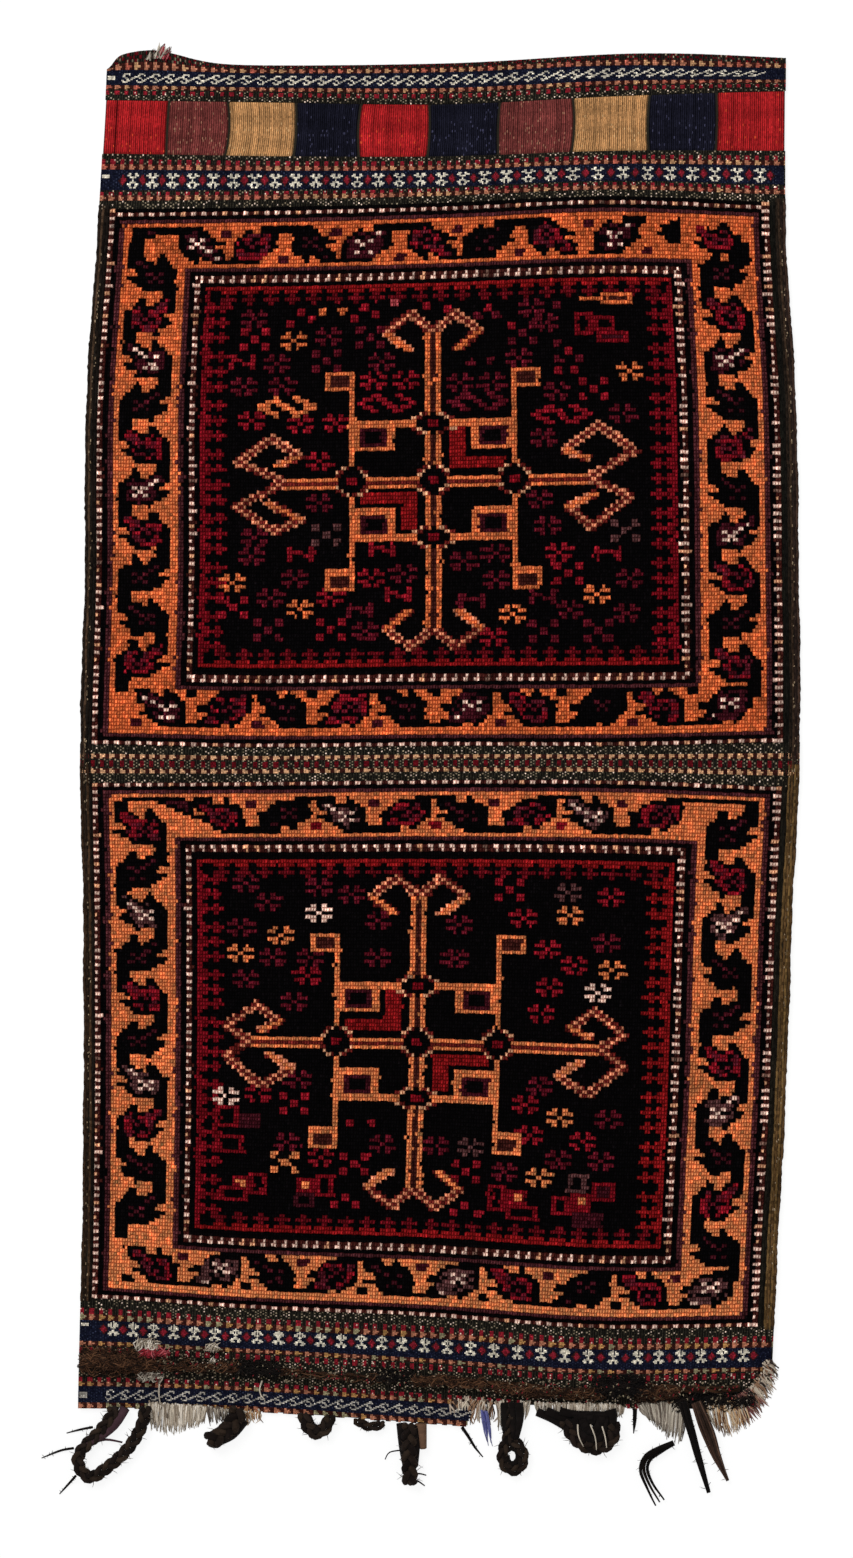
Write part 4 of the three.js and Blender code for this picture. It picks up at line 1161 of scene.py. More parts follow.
def tapestry_square(k):
    rng = np.random.default_rng(SQUARE_SEEDS + k)
    left = -CLOTH_WIDTH / 2 + SQUARE_SIDES[k] * CLOTH_WIDTH + SQUARE_GAP
    right = -CLOTH_WIDTH / 2 + SQUARE_SIDES[k + 1] * CLOTH_WIDTH - SQUARE_GAP
    wide = right - left
    ribs = round(wide / RIB)
    mesh = bmesh.new()
    bmesh.ops.create_grid(mesh, x_segments=2 * ribs, y_segments=SQUARE_ROWS, size=0.5)
    plan = np.array([face.calc_center_median() for face in mesh.faces])
    points = np.array([vert.co for vert in mesh.verts])
    along = points[:, 1] * 2
    bow = SLIT_BOWS[k] * (0.5 - points[:, 0]) + SLIT_BOWS[k + 1] * (0.5 + points[:, 0])
    x = (left + right) / 2 + points[:, 0] * wide + bow * (1 - along ** 2)
    y = (SQUARES_TOP + SQUARES_FOOT) / 2 + points[:, 1] * (SQUARES_TOP - SQUARES_FOOT)
    rib = np.abs(np.cos((points[:, 0] + 0.5) * ribs * math.pi))
    edge = np.maximum(np.abs(points[:, 0]), np.abs(points[:, 1])) > AT_EDGE
    put_on_cloth(mesh, x, y, np.where(edge, EDGE_UP, RIB_FOOT + RIB_RISE * rib))
    yarn = SQUARE_YARNS[k]
    dye, glint, chance = SQUARE_DYES[yarn]
    faces = len(mesh.faces)
    own_rib = ((plan[:, 0] + 0.5) * ribs).astype(int)
    lots = 1 + LOT_DEPTH * np.sin(plan[:, 1] * LOT_TURNS + k) * rng.uniform(*LOT_SPREAD, ribs)[own_rib]
    shade = rng.uniform(*RIB_SPREAD, ribs)[own_rib] * lots * rng.uniform(*FACE_SPREAD, faces)
    # Painted shade towards the sides, where shade falls into the slits between the squares
    from_side = (0.5 - np.abs(plan[:, 0])) * wide
    shade *= np.interp(from_side, [0, SIDE_SHADE], [SLIT_PAINTED_SHADE, 1])
    # A strip of painted shade along the seam of the first square, where it puckers
    if k == 0:
        shade[np.abs((plan[:, 0] + 0.5) * wide - SEAM_AT) < RIB / 2] *= SEAM_PAINTED_SHADE
    colours = np.array(colour(*dye)) * shade[:, None]
    glints = rng.random(faces) < chance * np.where(plan[:, 1] < 0, *GLINT_HALVES)
    colours[glints] = colour(*glint)
    node = f"tapestry_square_{k + 1:02d}"
    data = mesh_of(node + "_weft", mesh)
    # Painted shade in the valleys of the ribs and a painted highlight on their crests, by corner
    colours = np.repeat(colours, 4, axis=0) * (RIB_PAINTED_LIGHT[0] + RIB_PAINTED_LIGHT[1] * rib[corners_of(data)])[:, None]
    return dress(node + "_weft", data, colours, FLAT_WOOL, [node])


# The ground itself, a closed sheet whose back shows the knots of the face
GROUND_COLUMNS = 66
GROUND_ROWS = 182
GROUND_THICK = 1.7
GROUND_DROP = 0.2
GROUND_NARROWER = 1


def ground_sheet(charts):
    mesh = bmesh.new()
    bmesh.ops.create_grid(mesh, x_segments=GROUND_COLUMNS, y_segments=GROUND_ROWS, size=0.5)
    points = np.array([vert.co for vert in mesh.verts])
    x = points[:, 0] * (CLOTH_WIDTH - GROUND_NARROWER)
    y = (TOP_EDGE + BOTTOM_EDGE) / 2 + points[:, 1] * (TOP_EDGE - BOTTOM_EDGE - GROUND_NARROWER)
    left_over = 1 - worn_away(points[:, 0] + 0.5) / (LOWER_FOOT - BOTTOM_EDGE)
    y = np.where(y < LOWER_FOOT, LOWER_FOOT + (y - LOWER_FOOT) * left_over, y)
    put_on_cloth(mesh, x, y, -GROUND_DROP)
    plan = np.array([np.mean([points[vert.index, :2] for vert in face.verts], 0) for face in mesh.faces])
    x = plan[:, 0] * CLOTH_WIDTH
    y = (TOP_EDGE + BOTTOM_EDGE) / 2 + plan[:, 1] * (TOP_EDGE - BOTTOM_EDGE)
    colours = np.tile(YARN_COLOURS[YARN_NUMBER["olive"]], (len(plan), 1))
    for chart, top, foot in ((charts[0], UPPER_TOP, UPPER_FOOT), (charts[1], LOWER_TOP, LOWER_FOOT)):
        column = ((x - PILE_LEFT) / KNOT[0] * TIPS).astype(int)
        row = ((top - y) / (top - foot) * KNOT_ROWS).astype(int)
        on = (y < top) & (y > foot) & (column >= 0) & (column < KNOTS_ACROSS * TIPS)
        colours[on] = YARN_COLOURS[chart.yarn[row[on], column[on]]]
    number = mesh.faces.layers.int.new("stitch")
    for i, face in enumerate(mesh.faces):
        face[number] = i
    bmesh.ops.solidify(mesh, geom=list(mesh.faces), thickness=GROUND_THICK * MM)
    bmesh.ops.recalc_face_normals(mesh, faces=list(mesh.faces))
    data = mesh_of("ground_sheet", mesh)
    stitch = values_of(data, "stitch", len(data.polygons))
    return dress("ground_sheet", data, colours[stitch], FLAT_WOOL, ["ground_cloth"], False)


# Cords, strands and locks of hair: round sections swept along smooth lines
CURVE_STEPS = 40
SAME_POINT = 1e-6


def spread(points, count):
    """Evenly spaced points on a smooth curve through the given ones."""
    points = np.asarray(points, float)
    shares = np.linspace(0, 1, CURVE_STEPS * len(points))
    line = np.stack([through(points[:, i], shares) for i in range(points.shape[1])], 1)
    steps = np.r_[0, np.cumsum(np.linalg.norm(np.diff(line, axis=0), axis=1))]
    at = np.linspace(0, steps[-1], count)
    return np.stack([np.interp(at, steps, line[:, i]) for i in range(points.shape[1])], 1)


def length_of(points):
    return float(np.linalg.norm(np.diff(np.asarray(points), axis=0), axis=1).sum())


def swept(name, strands, sides, material, nodes, seed, uneven=0.25):
    """Tubes along lines of points in millimetres, each with its own radii and colour, as one piece."""
    rng = np.random.default_rng(seed)
    whole = bmesh.new()
    shades = []
    for tone in sorted({tone for _, _, tone in strands}):
        curve = bpy.data.curves.new(name + "_lines", "CURVE")
        curve.dimensions = "3D"
        curve.bevel_depth = MM
        curve.bevel_resolution = sides // 2 - 2
        curve.use_fill_caps = True
        for points, radii, own_tone in strands:
            if own_tone == tone:
                spline = curve.splines.new("POLY")
                spline.points.add(len(points) - 1)
                spline.points.foreach_set("co", np.c_[np.asarray(points) * MM, np.ones(len(points))].ravel())
                spline.points.foreach_set("radius", np.asarray(radii, float))
        holder = linked(name + "_lines", curve)
        bpy.context.view_layer.update()
        tubes = bpy.data.meshes.new_from_object(holder.evaluated_get(bpy.context.evaluated_depsgraph_get()))
        bpy.data.objects.remove(holder)
        bpy.data.curves.remove(curve)
        mesh = bmesh.new()
        mesh.from_mesh(tubes)
        bmesh.ops.remove_doubles(mesh, verts=list(mesh.verts), dist=SAME_POINT)
        mesh.to_mesh(tubes)
        shades.append(np.tile(tone, (len(mesh.faces), 1)))
        mesh.free()
        whole.from_mesh(tubes)
        bpy.data.meshes.remove(tubes)
    for face in whole.faces:
        face.smooth = True
    colours = np.concatenate(shades)
    colours *= 1 + uneven * rng.uniform(-1, 1, (len(colours), 1))
    return dress(name, mesh_of(name, whole), colours, material, nodes, False)


BLACK_HAIR = [colour(22, 18, 17), colour(32, 26, 23), colour(14, 12, 12)]
DARK_HAIR = [colour(36, 28, 24), colour(26, 20, 18), colour(46, 36, 29)]
BROWN_HAIR = [colour(52, 33, 23), colour(70, 46, 31), colour(96, 66, 46), colour(34, 23, 17)]
LOCK_HAIR = [colour(72, 52, 43), colour(94, 71, 58), colour(52, 38, 31)]
FUZZ_HAIR = [colour(58, 46, 38)]
# Dark hair given a purple tone that is a painted sheen
PAINTED_SHEEN_HAIR = [colour(66, 46, 52), colour(50, 36, 40)]
PALE_BROWN_HAIR = [colour(112, 84, 66), colour(88, 64, 50)]
WARP_WOOL = [colour(200, 188, 170), colour(172, 158, 140), colour(132, 118, 102), colour(222, 212, 198)]
GREY_WOOL = [colour(166, 156, 142), colour(136, 124, 112), colour(190, 180, 164), colour(98, 86, 76)]
TAN_WOOL = [colour(178, 134, 92), colour(206, 176, 140), colour(112, 78, 54), colour(206, 196, 180)]
MIXED_WOOL = [colour(206, 192, 172), colour(150, 116, 90), colour(60, 46, 40), colour(186, 168, 150)]
RED_WOOL = [colour(150, 44, 54), colour(186, 92, 98), colour(120, 34, 40)]
PINK_WOOL = [colour(112, 66, 62), colour(160, 116, 104), colour(44, 33, 30)]
BLUE_WOOL = [colour(78, 80, 140), colour(104, 106, 160)]

UP = np.array([0, 0, 1])
# A braid's strands: turns to a millimetre, then swing, rise and radius as shares of the braid's thickness
BRAID_TURNS = 0.055
BRAID_SWING = 0.3
BRAID_RISE = 0.16
BRAID_STRAND = 0.2
# Hairs standing out of a cord: spread of lengths, slant, bend, root and fall as shares, radii in millimetres
FUZZ_LENGTHS = (0.4, 1.2)
FUZZ_SLANT = 0.9
FUZZ_BEND = 0.4
FUZZ_ROOT = 0.3
FUZZ_FALL = 0.5
FUZZ_RADII = [0.2, 0.16, 0.05]
# How many a cord has: the least number, hairs to a millimetre, length as a share of the cord's thickness
LOOP_FUZZ = (6, 0.4, 0.45)
STRAND_FUZZ = (3, 0.2, 0.6)
TABLE = 0.12
# Warp ends: how unevenly they start, spread of their lengths, shares at which they bend, and their taper
ROOT_UNEVEN = 0.4
END_LENGTHS = (0.75, 1.05)
END_STEPS = (0, 0.35, 0.7, 1)
END_TAPER = np.array([1, 1, 0.85, 0.35])
# Hairs lying about: spread of their lengths, bend as a share, arch in millimetres, and their taper
LYING_LENGTHS = (0.5, 1.3)
LYING_BEND = 0.22
LYING_ARCH = 0.8
LYING_TAPER = np.array([0.7, 1, 0.3])
# Single threads: points along them, and how thin their end is
THREAD_POINTS = 9
THREAD_END = 0.6
# Strands side by side: how far they rise and fall, the turn from one to the next, and their taper by share
STRAND_RISE = 0.35
STRAND_TURN = 2.4
STRAND_TAPER = ([0, 0.6, 1], [1, 0.85, 0.4])


def sideways(line):
    run = np.gradient(line, axis=0)
    run /= np.linalg.norm(run, axis=1)[:, None]
    across = np.stack([-run[:, 1], run[:, 0], np.zeros(len(run))], 1)
    across /= np.maximum(np.linalg.norm(across, axis=1), SAME_POINT)[:, None]
    return across


def braid(line, diameter, tones):
    """Strands plaited about a line."""
    across = sideways(line)
    steps = np.r_[0, np.cumsum(np.linalg.norm(np.diff(line, axis=0), axis=1))]
    made = []
    for k, tone in enumerate(tones):
        turn = 2 * math.pi * (steps * BRAID_TURNS + k / len(tones))
        aside = BRAID_SWING * diameter * np.sin(turn)
        up = BRAID_RISE * diameter * np.sin(2 * turn)
        points = line + across * aside[:, None] + UP * up[:, None]
        made.append((points, np.full(len(points), BRAID_STRAND * diameter), tone))
    return made


def fuzz(line, diameter, amount, rng, tones):
    """Short hairs that stand out of a hair cord and fall to the table."""
    least, to_a_millimetre, reach = amount
    across = sideways(line)
    hairs = []
    for _ in range(least + round(length_of(line) * to_a_millimetre)):
        i = rng.integers(1, len(line) - 1)
        side = rng.choice([-1, 1])
        long = reach * diameter * rng.uniform(*FUZZ_LENGTHS)
        run = (line[i] - line[i - 1]) / max(np.linalg.norm(line[i] - line[i - 1]), SAME_POINT)
        slant = rng.uniform(-FUZZ_SLANT, FUZZ_SLANT)
        out = side * across[i] + slant * run
        start = line[i] + across[i] * side * diameter * FUZZ_ROOT
        bend = rng.uniform(-FUZZ_BEND, FUZZ_BEND)
        points = np.array([
            start + out * long * t + run * bend * long * t * t + UP * diameter * (FUZZ_ROOT - FUZZ_FALL * t)
            for t in (0, 0.5, 1)
        ])
        points[:, 2] = np.maximum(points[:, 2], TABLE)
        hairs.append((points, FUZZ_RADII, tones[rng.integers(len(tones))]))
    return hairs


def scattered(rng, places, long, way, turn, thick, tones):
    """Short bowed hairs lying about the given places."""
    made = []
    for place in places:
        heading = way + rng.normal(0, turn)
        run = np.array([math.cos(heading), math.sin(heading), 0]) * long * rng.uniform(*LYING_LENGTHS)
        bend = rng.normal(0, LYING_BEND) * np.array([-run[1], run[0], 0]) + LYING_ARCH * UP
        points = np.array([place - run / 2, place + bend, place + run / 2])
        made.append((points, thick * LYING_TAPER, tones[rng.integers(len(tones))]))
    return made


def thread(points, thick, tone):
    line = spread(points, THREAD_POINTS)
    return line, np.linspace(thick, THREAD_END * thick, len(line)), tone


def apart(line, count, widths, thick, tones):
    """Strands side by side along a line, as far apart as the widths say."""
    across = sideways(line)
    steps = np.linspace(0, 1, len(line))
    half = through(widths, steps)
    taper = np.interp(steps, *STRAND_TAPER)
    made = []
    for k in range(count):
        place = 2 * (k + 0.5) / count - 1
        up = STRAND_RISE * math.cos(k * STRAND_TURN) * half
        points = line + across * (place * half)[:, None] + UP * up[:, None]
        points[:, 2] = np.maximum(points[:, 2], thick + TABLE)
        made.append((points, thick * taper, tones[k % len(tones)]))
    return made


# Closing loops, as the braid's thickness and the way it lies
LOOPS = {
    "closing_loop_1": (8, [
        (-189, -373.7), (-189.4, -377.6), (-197, -388), (-206, -397), (-209.5, -404), (-207, -411),
        (-201.5, -414.3), (-193, -409), (-183.5, -401), (-176, -391.5), (-172, -383), (-170.8, -377.5),
        (-170.8, -373.8)]),
    "closing_loop_2": (11.5, [(-116, -375), (-118.6, -381), (-125, -389), (-133.4, -393)]),
    "closing_loop_3": (8.5, [
        (-78, -377.7), (-77.6, -381.4), (-74.5, -386.9), (-70.5, -388.5), (-66.8, -386.5), (-64.2, -381.9),
        (-64, -379)]),
    "closing_loop_4": (6, [(-46.8, -380.8), (-46.6, -382.6), (-40.2, -385), (-33.8, -384), (-33.6, -382.2)]),
    "closing_loop_5": (10, [(-17, -383.6), (-17.5, -392), (-17.2, -404), (-16.8, -417.5)]),
    "closing_loop_6": (7, [
        (40.4, -371.5), (41, -383), (40.6, -389), (38.2, -395.5), (36.6, -401.5), (38, -407.4),
        (42.4, -410.4), (47, -408.8), (49, -403), (47.4, -397.4), (43.6, -392.8)]),
    "closing_loop_7": (8.5, [
        (73.7, -381.6), (75.5, -387), (82, -394.5), (90, -397.5), (97, -395.5), (101.3, -389.5),
        (101, -383.2)]),
    "closing_loop_8": (5, [
        (136.3, -394.5), (128.2, -398.5), (121.2, -403.1), (118.9, -410.1), (122.4, -419.4),
        (128.2, -429.2)]),
}
# Loosened strands beside the loops: thickness, tones and the way each lies
LOOP_STRANDS = {
    "closing_loop_2": [
        (3, BLACK_HAIR, [(-118, -378, 4.5), (-126, -386, 4.5), (-133.5, -390, 4.5)]),
        (3, BLACK_HAIR, [(-113, -381, 4.5), (-120, -390, 4.5), (-130, -395, 4.5)]),
    ],
    "closing_loop_3": [(2.2, BLACK_HAIR, [
        (-76, -379, 4), (-73.5, -384, 4), (-70.6, -385.5, 4), (-67.5, -384, 4), (-66, -380, 4)])],
    "closing_loop_1": [
        # The doubled arm of the first loop: dark hair with a painted purple sheen
        (2.9, PAINTED_SHEEN_HAIR, [(-182, -374, 4), (-188, -384, 4), (-197, -391.5, 4), (-205, -395.5, 4)]),
        (0.9, PAINTED_SHEEN_HAIR, [(-203, -395.3, 3), (-193.8, -392.6, 3), (-183.7, -394.2, 3)]),
    ],
    "closing_loop_5": [
        (3.5, PALE_BROWN_HAIR, [(-10.6, -383, 4), (-9.8, -391.3, 3.8), (-9.2, -397.7, 3.4)]),
        (2.8, BLACK_HAIR, [(-22, -383, 4), (-21, -397, 4), (-18.8, -411, 4)]),
        (2.8, BLACK_HAIR, [(-13.4, -384, 4), (-13.2, -396, 4), (-13.8, -408, 4)]),
        (0.5, BLACK_HAIR, [(-20, -398.6, 3), (-28.5, -400.1, 2), (-31.3, -404.5, 1)]),
        (0.6, BLACK_HAIR, [(-15.7, -412.4, 3), (-11, -412.6, 2), (-7.4, -413.7, 1)]),
        (0.6, BLACK_HAIR, [(-16, -415.2, 3), (-12, -417, 2), (-8.3, -419.8, 1)]),
    ],
    "closing_loop_6": [
        (2.9, BLACK_HAIR, [(46, -371, 4), (46.8, -380.3, 4.2), (44.6, -392, 4)]),
        (2.4, BLACK_HAIR, [(38, -371, 4), (38, -384, 4), (40, -395, 4)]),
        (2.4, BLACK_HAIR, [(42, -371, 4), (43, -384, 4), (42.6, -397, 3.6)]),
        (2.2, BLACK_HAIR, [
            (38.9, -402, 3.4), (40.2, -406, 3.4), (43.4, -406.8, 3.4), (46, -403.5, 3.4), (45.4, -399.5, 3.4),
            (42.6, -397.6, 3.4), (39.6, -399, 3.4)]),
    ],
    "closing_loop_7": [
        (2.6, BLACK_HAIR, [(57, -376.5, 3), (66, -381, 3), (76, -387.5, 4)]),
        (3, BLACK_HAIR, [(62, -376, 3), (70, -379.5, 3), (80, -384, 4)]),
        (3, BLACK_HAIR, [(70, -376, 3), (80, -378, 3), (100, -378, 4)]),
        (3.4, BLACK_HAIR, [(78, -380, 4), (82, -389, 4), (89, -392.6, 4), (95, -390, 4), (97, -380, 4)]),
        (3.4, BLACK_HAIR, [(83, -380, 4), (86, -386, 4), (90, -387.6, 4), (93, -380, 4)]),
        (3.4, BLACK_HAIR, [(87, -378, 4), (88.6, -382, 4), (90, -378, 4)]),
        (3.2, BLACK_HAIR, [(78, -380, 3.6), (90, -379.6, 3.6), (102, -381, 3.6)]),
        (3.2, BLACK_HAIR, [(94.6, -379, 3.6), (93.4, -385, 3.6), (91, -391, 3.6)]),
        (3.4, BLACK_HAIR, [(99.4, -375, 3.6), (100.6, -380, 3.6), (100.2, -387, 3.8)]),
        (0.45, WARP_WOOL, [(87.6, -383, 8.2), (90.4, -390.4, 8.8), (91.1, -397.7, 8.4)]),
        (0.45, WARP_WOOL, [(94.4, -384, 8.2), (96.2, -390.4, 8.8), (97, -396.4, 8.4)]),
        (0.5, WARP_WOOL, [(80.3, -383, 7), (80.8, -389.5, 8), (83.6, -395.9, 7)]),
    ],
}
# Loose strands: thickness, how many, how far they stand apart along their length, tones and the way they lie
LOOSE = {
    "loose_strand_1": (2.5, 3, [0.7, 0.5, 0.2], BLACK_HAIR, [
        (13.3, -385.6, 1.4), (17, -391, 1.4), (21, -397.5, 1.4), (25.5, -403, 1.4)]),
    "loose_strand_2": (2.5, 4, [1.0, 0.8, 0.1], BLACK_HAIR, [
        (113.7, -374.8, 2.9), (113.5, -382, 2.9), (113, -389.3, 1.5)]),
    "loose_strand_3": (5, 8, [2.5, 2.0, 1.6, 1.0], BLACK_HAIR, [
        (141.5, -370.5, 5.6), (143.5, -378.2, 4.6), (147, -390, 4.1), (150, -401, 2.8),
        (156.6, -423.5, 2.6)]),
    "loose_strand_4": (5, 12, [2.6, 3.6, 2.4, 0.7], LOCK_HAIR, [
        (149, -370.5, 5.6), (152.5, -379.4, 4.6), (157, -391, 4.1), (161, -402, 2.8), (167.6, -416.5, 2.6)]),
    "stray_strand_1": (1.8, 2, [0.5, 0.4, 0.2], BLACK_HAIR, [
        (-200.9, -385.2, 4), (-208, -387, 1.3), (-216.3, -389.2, 1)]),
    "stray_strand_2": (1.8, 2, [0.5, 0.4, 0.2], BLACK_HAIR, [
        (-211.9, -397.4, 4), (-219.8, -399.3, 1.3), (-230.8, -403.7, 1)]),
    "stray_strand_3": (1.8, 2, [0.5, 0.4, 0.2], BLACK_HAIR, [
        (-210.7, -413.5, 4), (-214.5, -418, 1.3), (-220.4, -424.6, 1)]),
}
UNRAVELLED = "closing_loop_8"
UNRAVELLED_STRANDS = 3
UNRAVELLED_WIDTHS = [0.9, 2.4, 3, 3, 4.4]
UNRAVELLED_THICK = 1.1
# Millimetres from one point of a cord's line to the next, the fewest points, and a loop's gap to the table
CORD_STEP = 1.6
LOOP_POINTS = 12
STRAND_POINTS = 8
OFF_TABLE = 0.1
# Where there are only a few loose strands, they are thinner
FEW_STRANDS = 4
FEW_THICK = 0.55
MANY_THICK = 0.75
# Sides of a swept strand's section
BRAID_SIDES = 8
HAIR_SIDES = 6
FINE_SIDES = 4


def hair_loop(name, seed):
    diameter, route = LOOPS[name]
    rng = np.random.default_rng(seed)
    flat = [(x, y, diameter / 2 + OFF_TABLE) for x, y in route]
    line = spread(flat, max(LOOP_POINTS, round(length_of(flat) / CORD_STEP)))
    if name == UNRAVELLED:
        strands = apart(line, UNRAVELLED_STRANDS, UNRAVELLED_WIDTHS, UNRAVELLED_THICK, BLACK_HAIR)
    else:
        strands = braid(line, diameter, DARK_HAIR)
    hairs = fuzz(line, diameter, LOOP_FUZZ, rng, FUZZ_HAIR)
    for thick, tones, points in LOOP_STRANDS.get(name, []):
        hairs.append(thread(points, thick, tones[0]))
    piece = swept(name + "_braid", strands, BRAID_SIDES, HAIR, [name], seed)
    fluff = swept(name + "_fluff", hairs, HAIR_SIDES, HAIR, [], seed)
    return piece, fluff, line * MM, diameter * MM


def hair_strand(name, seed):
    diameter, count, widths, tones, route = LOOSE[name]
    rng = np.random.default_rng(seed)
    line = spread(route, max(STRAND_POINTS, round(length_of(route) / CORD_STEP)))
    strands = apart(line, count, widths, FEW_THICK if count <= FEW_STRANDS else MANY_THICK, tones)
    hairs = fuzz(line, diameter, STRAND_FUZZ, rng, tones)
    piece = swept(name + "_hair", strands, HAIR_SIDES, HAIR, [name], seed)
    fluff = swept(name + "_fluff", hairs, FINE_SIDES, HAIR, [], seed)
    return piece, fluff, line * MM, diameter * MM


# The couched cord across the lower end, and the hair that has worked loose along it
COUCHED_Y = BOTTOM_EDGE + 26
COUCHED_LEFT = -CLOTH_WIDTH / 2 + 5.5
COUCHED_RIGHT = CLOTH_WIDTH / 2 - 19.5
COUCHED_POINTS = 240
# How far it wanders, and over what lengths
COUCHED_WANDERS = [(0.7, 19), (0.4, 7.3)]
# Its height above the ground, the share of the cloth's swell that it follows, and the shade of its strands
COUCHED_UP = 3.2
COUCHED_SWELL = 0.4
COUCHED_SHADE = 0.5
# Its strands: how many, the length of a turn, their distance from the middle, their radius and their lumps
COUCHED_STRANDS = 3
COUCHED_TURN = 26
COUCHED_OUT = 1.3
COUCHED_RADIUS = 1.2
LUMP_DEPTH = 0.25
LUMP_LENGTH = 11
# Where the cord has worn thin, and to what share
WORN_THIN = ([-165, -150, -114, -106, -88, -80, -34, -26], [1, 0.5, 0.5, 1, 1, 0.4, 0.4, 1])
# Specks of the couching yarn: how many, from and to, how far aside and up, length, heading, turn, thickness
COUCHING_SPECKS = 420
SPECKS_ACROSS = (-162, 190)
SPECKS_ASIDE = 3
SPECKS_UP = 5.6
SPECK_LIE = (1.6, 1.2, 0.6, 0.4)
COUCHING_WOOL = [colour(150, 136, 112), colour(112, 100, 82), colour(134, 40, 46)]
# Loose hair: length, heading, turn and thickness, its height on the ground and over the cord, its spread
HAIR_LIE = (6, 0, 0.55, 0.34)
HAIR_UP = 1.6
OVER_CORD = 4.2
CORD_REACH = 5
HAIR_UNEVEN = 1.2
# Stretches of loose hair: from, to, half width, how many, how far above the cord, tones
HAIR_STRETCHES = [
    (-207, -162, 7, 900, 1, BROWN_HAIR), (-162, -112, 3.6, 170, 1, BROWN_HAIR),
    (-112, -88, 4, 260, 1, BLACK_HAIR), (-88, -28, 3, 80, -1, BROWN_HAIR),
    (-28, -8, 3.4, 150, 1, BLACK_HAIR), (-8, 36, 2, 330, 0, BROWN_HAIR),
    (42, 108, 2.6, 560, -2, BROWN_HAIR), (104, 132, 5.5, 420, 3, BLACK_HAIR),
    (130, 152, 4, 240, -2, BROWN_HAIR), (150, 198, 4.5, 300, -7, BLACK_HAIR),
]
# Tufts of loose yarn near the cord: middle, half size, how many, length, heading, tones
TUFTS = [
    ((-169, -337.1), (6, 1.6), 60, 6, 1.2, WARP_WOOL), ((-165.3, -341.7), (7, 1.8), 60, 6, 0.6, RED_WOOL),
    ((-166.6, -355.5), (7, 2), 50, 5, 0.3, GREY_WOOL), ((-131.4, -339.3), (3, 1.4), 20, 5, 1.0, WARP_WOOL),
    ((-131, -346.7), (1.5, 1), 6, 5, 0.9, WARP_WOOL),
]
LOOSE_THREADS = [
    [(-161.7, -357, 5), (-162.4, -365, 5), (-161.5, -373, 4)],
    [(-102.5, -358, 5), (-104, -363, 5), (-103, -367, 5), (-101, -369, 4)],
]
TUFT_HEIGHTS = (4.6, 6.4)
TUFT_TURN = 0.7
TUFT_THICK = 0.42
LOOSE_THREAD_THICK = 0.55
COUCHED_SEED = 31
COUCHED_SHADE_SEED = 32


def couched_cord():
    rng = np.random.default_rng(COUCHED_SEED)
    x = np.linspace(COUCHED_LEFT, COUCHED_RIGHT, COUCHED_POINTS)
    wander = sum(far * np.sin(x / length) for far, length in COUCHED_WANDERS)
    placed_x, placed_y = lay(x, np.full(len(x), COUCHED_Y) + wander)
    high = GROUND + COUCHED_UP + swell(placed_x, placed_y) * COUCHED_SWELL
    line = np.stack([placed_x, placed_y, high], 1)
    across = sideways(line)
    thin = np.interp(x, *WORN_THIN)
    strands = []
    for k, tone in enumerate(BROWN_HAIR[:COUCHED_STRANDS]):
        turn = 2 * math.pi * (k / COUCHED_STRANDS + x / COUCHED_TURN)
        aside, up = COUCHED_OUT * thin * np.cos(turn), COUCHED_OUT * thin * np.sin(turn)
        points = line + across * aside[:, None] + UP * up[:, None]
        radii = thin * (COUCHED_RADIUS + LUMP_DEPTH * np.sin(x / LUMP_LENGTH + k))
        strands.append((points, radii, tuple(COUCHED_SHADE * part for part in tone)))
    speck_x = rng.uniform(*SPECKS_ACROSS, COUCHING_SPECKS)
    speck_x, speck_y = lay(speck_x, COUCHED_Y + rng.normal(0, SPECKS_ASIDE, COUCHING_SPECKS))
    specks = np.stack([speck_x, speck_y, np.full(COUCHING_SPECKS, GROUND + SPECKS_UP)], 1)
    strands += scattered(rng, specks, *SPECK_LIE, COUCHING_WOOL)
    for left, right, half, count, above, tones in HAIR_STRETCHES:
        aside = np.clip(rng.normal(0, half / 2, count), -half, half)
        hair_x, hair_y = lay(rng.uniform(left, right, count), COUCHED_Y + above + aside)
        near_cord = np.clip(1 - np.abs(above + aside) / CORD_REACH, 0, 1)
        high = GROUND + HAIR_UP + OVER_CORD * near_cord + rng.uniform(0, HAIR_UNEVEN, count)
        strands += scattered(rng, np.stack([hair_x, hair_y, high], 1), *HAIR_LIE, tones)
    for (middle_x, middle_y), (half_x, half_y), count, long, way, tones in TUFTS:
        places = np.stack([
            middle_x + half_x * rng.uniform(-1, 1, count),
            middle_y + half_y * rng.uniform(-1, 1, count),
            rng.uniform(*TUFT_HEIGHTS, count),
        ], 1)
        strands += scattered(rng, places, long, way, TUFT_TURN, TUFT_THICK, tones)
    strands += [thread(points, LOOSE_THREAD_THICK, WARP_WOOL[0]) for points in LOOSE_THREADS]
    nodes = ["couched_hair_cord"]
    return swept("couched_cord_hair", strands, FINE_SIDES, HAIR, nodes, COUCHED_SHADE_SEED)


